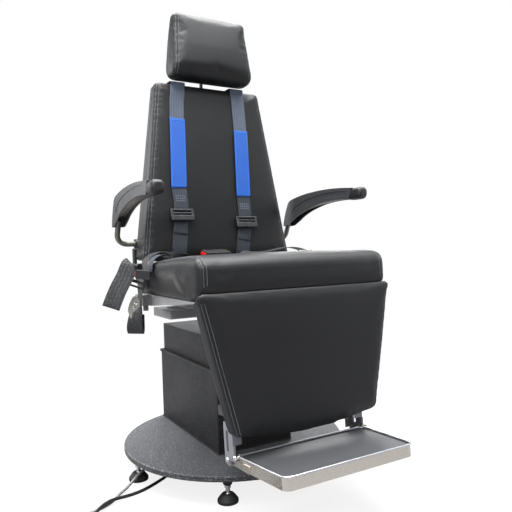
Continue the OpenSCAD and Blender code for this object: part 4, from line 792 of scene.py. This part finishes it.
def ribbon(name, rows, thickness, material, body):
    """A woven band over rows of points across its width, with UVs in metres."""
    n = len(rows[0])
    points = [Vector(p) / 1000 for row in rows for p in row]
    faces = [(j * n + i, j * n + i + 1, (j + 1) * n + i + 1, (j + 1) * n + i)
             for j in range(len(rows) - 1) for i in range(n - 1)]
    band = piece_of(name, points, faces, material, body)
    middles = [Vector(row[n // 2]) / 1000 for row in rows]
    runs = [0.0]
    for p, q in zip(middles, middles[1:]):
        runs.append(runs[-1] + (q - p).length)
    wide = (Vector(rows[0][-1]) - Vector(rows[0][0])).length / 1000
    chart = band.data.uv_layers.new(name="metres")
    for corner in band.data.loops:
        j, i = divmod(corner.vertex_index, n)
        chart.data[corner.index].uv = (wide * (i / (n - 1) - 0.5), runs[j])
    modify(band, "thickness", "SOLIDIFY", thickness=thickness, offset=0)
    modify(band, "selvedge", "BEVEL", width=thickness * 0.3, segments=2, limit_method="ANGLE",
           angle_limit=math.radians(50))
    return band


back_skin = surface_of(back)


def on_back(x, z, lift):
    """The point on the backrest's front face at x and z, lifted forwards."""
    hit = back_skin.ray_cast(Vector((x, -400, z)) / 1000, Vector((0, 1, 0)))[0]
    y = hit.y * 1000 if hit else back_y(z)
    return (x, y - lift, z)


def strap_point(shares, s):
    """The strap's middle at the share s of the backrest's height, as x and z."""
    q = float(np.interp(s, [row[1] for row in shares[::-1]], [row[0] for row in shares[::-1]]))
    return q * (back_width(s) - 15 * (1 - s)), back_z(s)


def strap_rows(shares, width, top, bottom, lift, step=0.01, columns=9, dip=-1):
    """Rows of points across a strap on the backrest, from the share top down to bottom, that
    come nearer the cushion at the share dip, where the slide holds them."""
    count = max(3, int((top - bottom) / step))
    rows = []
    for k in range(count + 1):
        s = top + (bottom - top) * k / count
        x, z = strap_point(shares, s)
        x2, z2 = strap_point(shares, max(s - 0.03, 0.005))
        x1, z1 = strap_point(shares, min(s + 0.03, 0.995))
        run = np.array([x2 - x1, z2 - z1])
        run /= np.linalg.norm(run)
        across_x, across_z = -run[1], run[0]
        row = []
        for c in range(columns):
            off = width * (c / (columns - 1) - 0.5)
            row.append(on_back(x + across_x * off, z + across_z * off,
                               lift - 2.2 * math.exp(-((s - dip) / 0.028) ** 4)))
        front = min(p[1] for p in row)
        rows.append([(px, py * 0.45 + front * 0.55, pz) for px, py, pz in row])
    return rows


def facing(line, gap):
    """Spots that far apart along the line, as sew takes them, facing forwards."""
    return [(Vector(p) / 1000, Vector((0, -1, 0))) for p in evenly(line, gap)]


left_shares = [[-.6, .99], [-.63, .89], [-.63, .79], [-.62, .61], [-.61, .4], [-.58, .33],
               [-.57, .25], [-.59, .16], [-.6, .06], [-.6, .01]]
right_shares = [[.53, .99], [.51, .89], [.49, .75], [.44, .55], [.4, .36], [.4, .3], [.4, .21],
                [.34, .12], [.31, .04], [.31, .01]]
blue_thread = finish("blue_thread", (0.03, 0.24, 0.8), 0.5, mottle=0.3)
pale_thread = finish("strap_thread", (0.2, 0.24, 0.3), 0.55, mottle=0.3)
for name, shares, sleeve, slide in (("left", left_shares, (.79, .40), .252),
                                    ("right", right_shares, (.75, .36), .212)):
    x = strap_point(shares, 0.99)[0]
    front, thick, rear, crest = 100.03, 31, 161.87, 1243
    over = smooth_line([[x, rear, crest - 60], [x, rear, crest - 15], [x, rear - 1.2, crest],
                        [x, rear - 12, crest + 4.5], [x, front + .6 * thick, crest + 4.6],
                        [x, front + .12 * thick, crest + 3], [x, front - 2.6, crest - 2.4]], 4)
    rows = [[(p[0] + 50 * (c / 8 - 0.5), p[1], p[2]) for c in range(9)] for p in over]
    rows += strap_rows(shares, 50, 0.98, 0.012, 2.1, dip=slide)
    strap = ribbon("shoulder_webbing_" + name, rows, 0.0018, grey_webbing, "backrest")
    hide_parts("shoulder_strap_" + name)
    top, bottom = sleeve
    cover = ribbon("strap_sleeve_" + name, strap_rows(shares, 53, top, bottom, 4.6), 0.0026,
                   blue_cloth, "backrest")
    if name == "left":
        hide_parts("strap_sleeves")
    ribbon("strap_tail_" + name, strap_rows(shares, 49, slide - 0.03, slide - 0.105, 4.3),
           0.0019, grey_webbing, "backrest")
    high, low = top - 0.012, bottom + 0.012
    hems = [facing(strap_rows(shares, 46, edge, edge - 0.003, 6.0, columns=13)[0], 4.2)
            for edge in (high, low)]
    rows = strap_rows(shares, 46, high, low, 6.0, columns=13)
    hems += [facing([row[side] for row in rows], 4.4) for side in (0, 12)]
    sew("sleeve_stitches_" + name, hems, "backrest", 0.0032, 0.0008, blue_thread)
    x0, z0 = strap_point(shares, slide + 0.075 + 0.028)
    x1, z1 = strap_point(shares, slide + 0.075)
    rows = [[(offset, f) for f in np.linspace(0, 1, 5)] for offset in (-15, -7.5, 0, 7.5, 15)]
    rows += [[(offset, f) for offset in np.linspace(-15, 15, 6)] for f in (0, 0.5, 1)]
    box = [facing([on_back(x0 + offset + (x1 - x0) * f, z0 + (z1 - z0) * f, 3.2)
                   for offset, f in line], 3.6) for line in rows]
    sew("strap_stitches_" + name, box, "backrest", 0.003, 0.0008, pale_thread)

# Painted highlight: the strong edge lightening here stands in for light catching the edges of the
# slides, buckles and adjusters, as well as rubbing
black_hardware = finish("black_plastic_gloss", (0.02, 0.02, 0.022), 0.28,
                        grain=(1300, 0.00008), wear_and_highlight=0.5)


def three_bar_slide(name, shares, s):
    """A thick moulded slide that lies over its strap, with its lower bar tipped forwards."""
    middle = Vector(on_back(*strap_point(shares, s), 9.5)) / 1000
    tip = Matrix.Rotation(math.radians(-back_lean - 9), 4, "X")
    bars = ((0, 15, 39, 3.4, 3.2), (0, 4, 33, 2.4, 2.2), (0, -12, 39, 4.2, 8.5),
            (-35.5, 1, 4.2, 3.4, 16), (35.5, 1, 4.2, 3.4, 16))
    points, faces = [], []
    for cx, cz, half_x, half_y, half_z in bars:
        first = len(points)
        for k in range(8):
            corner = Vector((cx + half_x * (1 if k & 1 else -1), half_y * (1 if k & 2 else -1),
                             cz + half_z * (1 if k & 4 else -1))) / 1000
            points.append(middle + tip @ corner)
        for face in ((0, 2, 3, 1), (4, 5, 7, 6), (0, 1, 5, 4), (2, 6, 7, 3), (0, 4, 6, 2),
                     (1, 3, 7, 5)):
            faces.append(tuple(first + k for k in face))
    slide = piece_of(name, points, faces, black_hardware, "backrest")
    modify(slide, "edges", "BEVEL", width=0.0019, segments=4)
    modify(slide, "shading", "WEIGHTED_NORMAL", weight=60)
    return slide


left_slide = three_bar_slide("strap_slide_left", left_shares, .252)
three_bar_slide("strap_slide_right", right_shares, .212)
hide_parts("strap_adjusters")

# The lap belts
# Two black belts are folded over at the seat's left and right front, with blue-grey pieces on
# them, each with its buckle, slide and hook.


def lap_point(s):
    """A point in belt widths from the seat's left rear lower corner."""
    return np.array([-290 + 50 * s[0], 50 * s[1], 557 + 50 * s[2]])


def belt(name, shares, turns, width=50, mirrored=False, material=black_webbing):
    """A band through the shares' points, with its width along the turns."""
    flip = np.array([-1, 1, 1]) if mirrored else np.array([1, 1, 1])
    middle = smooth_line([lap_point(s) * flip for s in shares], 4)
    for _ in range(3):
        eased = [(p + 2 * q + n) / 4 for p, q, n in zip(middle, middle[1:], middle[2:])]
        middle = [middle[0]] + eased + [middle[-1]]
    turned = smooth_line([np.array(t, float) * flip for t in turns], 4)
    rows = []
    for k, (p, d) in enumerate(zip(middle, turned)):
        run = middle[min(k + 1, len(middle) - 1)] - middle[max(k - 1, 0)]
        run /= np.linalg.norm(run)
        side = d - run * (d @ run)
        side /= np.linalg.norm(side)
        rows.append([p + side * width * (c / 6 - 0.5) for c in range(7)])
    return ribbon(name, rows, 0.0018, material, "seat")


left_belt = belt("lap_webbing_left", [
    [3.2, .44, 1.1], [2.8, .4, 2.05], [2, .04, 2.42], [1.1, -.24, 2.5], [.4, -.56, 2.34],
    [-.1, -.8, 1.92], [-.24, -.96, 1.3], [-.46, -1.04, .56], [-.56, -1.1, -.24],
    [-.82, -1.12, -1.04], [-.92, -1.12, -1.74], [-.91, -1.11, -2.06], [-.83, -1.03, -2.22],
    [-.74, -.94, -2.08], [-.72, -.92, -1.74], [-.72, -.92, -1.1]],
    [[1, -.1, 0], [.95, -.3, 0], [.5, -.87, 0], [0, -1, 0], [0, -1, 0], [0, -1, 0], [.1, -1, 0],
     [.05, -1, 0], [-.1, -1, 0], [.48, -.88, 0]] + [[.7, -.7, 0]] * 6)
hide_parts("lap_belt_left")
belt("lap_tail_left", [
    [-.82, -1.2, 1.16], [-.86, -1.24, 1.5], [-.9, -1.28, 1.78], [-1.04, -1.34, 1.9],
    [-1.24, -1.4, 1.7], [-1.46, -1.44, 1.2], [-1.94, -1.5, .42], [-2.38, -1.56, -.56]],
    [[.78, -.44, -.45]] * 8)
belt("lap_short_left", [
    [1, -1.6, 2.24], [.5, -1.8, 2.34], [0, -1.9, 2.1], [-.16, -1.96, 1.7], [-.22, -2.04, 1.31]],
    [[0, -1, 0]] * 5, 40, material=grey_webbing)
right_belt = belt("lap_webbing_right", [
    [4.6, .44, 1.2], [4.4, .4, 1.9], [3.6, .1, 2.2], [2.7, -.3, 2.36], [1.8, -.7, 2.56],
    [1.1, -.9, 2.5], [.4, -1, 2.26], [-.16, -1.04, 1.7], [-.36, -1.04, .9], [-.4, -1, .1]],
    [[1, .1, 0], [.95, .3, 0], [.5, .87, 0]] + [[0, 1, 0]] * 7, mirrored=True)
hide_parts("lap_belt_right")
dress("belt_adjusters", black_hardware, 0.0007)
dress("belt_buckles", black_hardware, 0.003, rounds=3)
zinc = finish("hook_zinc", (0.86, 0.84, 0.75), 0.16, 1.0, mottle=0.3, spread=0.2,
              grain=(900, 0.00006), wear_and_highlight=0.3)
dress("snap_hooks", zinc, 0.0009)
red = finish("button_red", (0.62, 0.012, 0.012), 0.32, mottle=0.2, grain=(1300, 0.00008),
             Coat_Weight=0.3)
for name in ("button_centre", "button_left", "button_side"):
    dress(name, red, 0.0012, rounds=3)

# The armrests
# Moulded grey arms on bent tubes, each with a shallow recess in its cheeks, a hollow underside
# and a black grip at its front.

arm_finish = finish("arm_plastic", (0.05, 0.051, 0.054), 0.38, mottle=0.2,
                    grain=(850, 0.00022), wear_and_highlight=0.12)
grip_finish = finish("grip_black", (0.012, 0.012, 0.013), 0.5, grain=(800, 0.00025))
tube_finish = finish("tube_grey", (0.2, 0.185, 0.16), 0.36, 0.35, mottle=0.2,
                     relief=[(drawn_along(700, 700, 40), 0.00008)], wear_and_highlight=0.2)
for side in ("left", "right"):
    dress("arm_" + side, arm_finish, 0.0026, rounds=4)
    dress("grip_" + side, grip_finish, 0.002, sharp=25, rounds=3)
    dress("arm_tube_" + side, tube_finish, 0.0006)

# The footrest
# A tray of brushed stainless steel with a bright rolled rim and a grey mat hangs from two
# brackets, each held by a pair of domed bolts.

tray_metal = finish("tray_steel", (0.6, 0.56, 0.5), 0.27, 1.0, mottle=0.08, spread=0.06,
                    relief=[(drawn_along(9, 9, 500), 0.000012)])
dress("footrest_tray", tray_metal, 0.0008)
dress("footrest_mat", finish("mat_grey", (0.05, 0.052, 0.055), 0.5, mottle=0.35,
                             grain=(900, 0.0001)), 0.0008)
dress("footrest_brackets", finish("bracket_lilac", (0.3, 0.3, 0.33), 0.35, 0.3, mottle=0.2,
                                  grain=(1000, 0.0001), wear_and_highlight=0.2), 0.0009)
dress("footrest_bolts", finish("bolt_chrome", (0.75, 0.75, 0.76), 0.14, 1.0, mottle=0.15,
                               grain=(1500, 0.00003)), 0.0006)

# The rim, a rod bent round the tray's upper edge
rim_z, rim_wide, rim_high = -401.6, 2.6, 3
outline = []
for k, (x, y) in enumerate(((197, 46), (188, -159), (-188, -159), (-197, 46))):
    centre_x, centre_y = x - math.copysign(20, x), y - math.copysign(20, y)
    for step in range(9):
        a = math.radians(90 - 90 * k - 90 * step / 8)
        outline.append((centre_x + 19 * math.cos(a), centre_y + 19 * math.sin(a)))
points = []
count = len(outline)
for k, (x, y) in enumerate(outline):
    before, after = outline[k - 1], outline[(k + 1) % count]
    run = Vector((after[0] - before[0], after[1] - before[1], 0)).normalized()
    out = run.cross(Vector((0, 0, 1)))
    for turn in range(10):
        a = turn * math.pi / 5
        points.append(Vector(from_leg(x - out.x + rim_wide * math.cos(a) * out.x,
                                      y - out.y + rim_wide * math.cos(a) * out.y,
                                      rim_z + rim_high * math.sin(a))) / 1000)
bright = finish("tray_rim_steel", (0.62, 0.62, 0.64), 0.3, 1.0, mottle=0.15, grain=(1500, 0.00003))
piece_of("tray_rim", points, walls(0, count, 10, closed=True), bright, "footrest")

# The room
# A pale floor that keeps only a faint shadow, a white surround and large soft lamps: the main one
# from the upper left front, a weaker one from the right, a wide one overhead and two from behind.

bpy.ops.mesh.primitive_plane_add(size=24, location=(0, 0, -0.0008))
floor = bpy.context.object
floor.name = "floor"
ground = bpy.data.materials.new("floor")
ground.use_nodes = True
tree = ground.node_tree
tree.nodes.clear()
seen = add(tree, "LightPath").outputs["Is Camera Ray"]
tone = use(tree, uneven, Colour=(0.9, 0.9, 0.9, 1), Roughness=0.8, Mottle=0.03)["Colour"]
glossy = calc(tree, "MULTIPLY", add(tree, "LightPath").outputs["Is Glossy Ray"], 0.1)
lit = calc(tree, "MAXIMUM", seen, glossy)
shaded = blend(tree, lit, (0.2, 0.2, 0.21, 1), tone)
matte = add(tree, "BsdfDiffuse", {"Color": shaded}).outputs[0]
glow = add(tree, "Emission", {"Color": (1, 1, 1, 1), "Strength": 1.0}).outputs[0]
spot = add(tree, "TexCoord").outputs["Object"]
far = add(tree, "VectorMath", {0: spot}, operation="LENGTH").outputs["Value"]
fade = add(tree, "MapRange", {"Value": far, "From Min": 0.6, "From Max": 1.3, "To Min": 0.84,
                              "To Max": 1.0}).outputs[0]
share = calc(tree, "MULTIPLY", seen, fade)
both = add(tree, "MixShader", {0: share, 1: matte, 2: glow}).outputs[0]
leave = tree.nodes.new("ShaderNodeOutputMaterial")
tree.links.new(both, leave.inputs["Surface"])
floor.data.materials.append(ground)

world = bpy.data.worlds.new("surround")
scene.world = world
world.use_nodes = True
tree = world.node_tree
tree.nodes.clear()
path = add(tree, "LightPath").outputs
shown = calc(tree, "MAXIMUM", path["Is Camera Ray"], path["Is Transmission Ray"])
height = add(tree, "SeparateXYZ", {0: add(tree, "TexCoord").outputs["Generated"]}).outputs["Z"]
upper = add(tree, "MapRange", {"Value": height, "From Min": 0.0, "From Max": 0.7}).outputs[0]
soft = calc(tree, "MULTIPLY_ADD", upper, 0.16, 0.025)
mirrored = calc(tree, "MULTIPLY_ADD", upper, 0.65, 0.04)
mirrored = calc(tree, "MULTIPLY", path["Is Glossy Ray"], mirrored)
strength = calc(tree, "MAXIMUM", shown, calc(tree, "ADD", soft, mirrored))
tint = blend(tree, shown, (0.88, 0.94, 1, 1), (1, 1, 1, 1))
sky = add(tree, "Background", {"Color": tint, "Strength": strength}).outputs[0]
leave = tree.nodes.new("ShaderNodeOutputWorld")
tree.links.new(sky, leave.inputs["Surface"])

for name, spot, target, size, power in (
        ("main", (-2.5, -1.9, 2.7), (0, 0, 0.8), 1.8, 78),
        ("right", (2.7, -1.2, 1.5), (0, 0, 0.8), 1.6, 20),
        ("overhead", (-0.1, -0.1, 4.4), (0, 0, 0.6), 4.2, 680),
        ("behind_left", (-2.1, 2.2, 1.7), (0, 0, 0.9), 1.2, 45),
        ("behind_right", (1.9, 2.4, 1.9), (0, 0, 0.9), 1.2, 35)):
    lamp = bpy.data.lights.new(name, "AREA")
    lamp.shape = "SQUARE"
    lamp.size = size
    lamp.energy = power
    holder = placed(name, lamp)
    holder.location = spot
    holder.rotation_euler = (Vector(target) - Vector(spot)).to_track_quat("-Z", "Y").to_euler()
scene.view_settings.view_transform = "Standard"
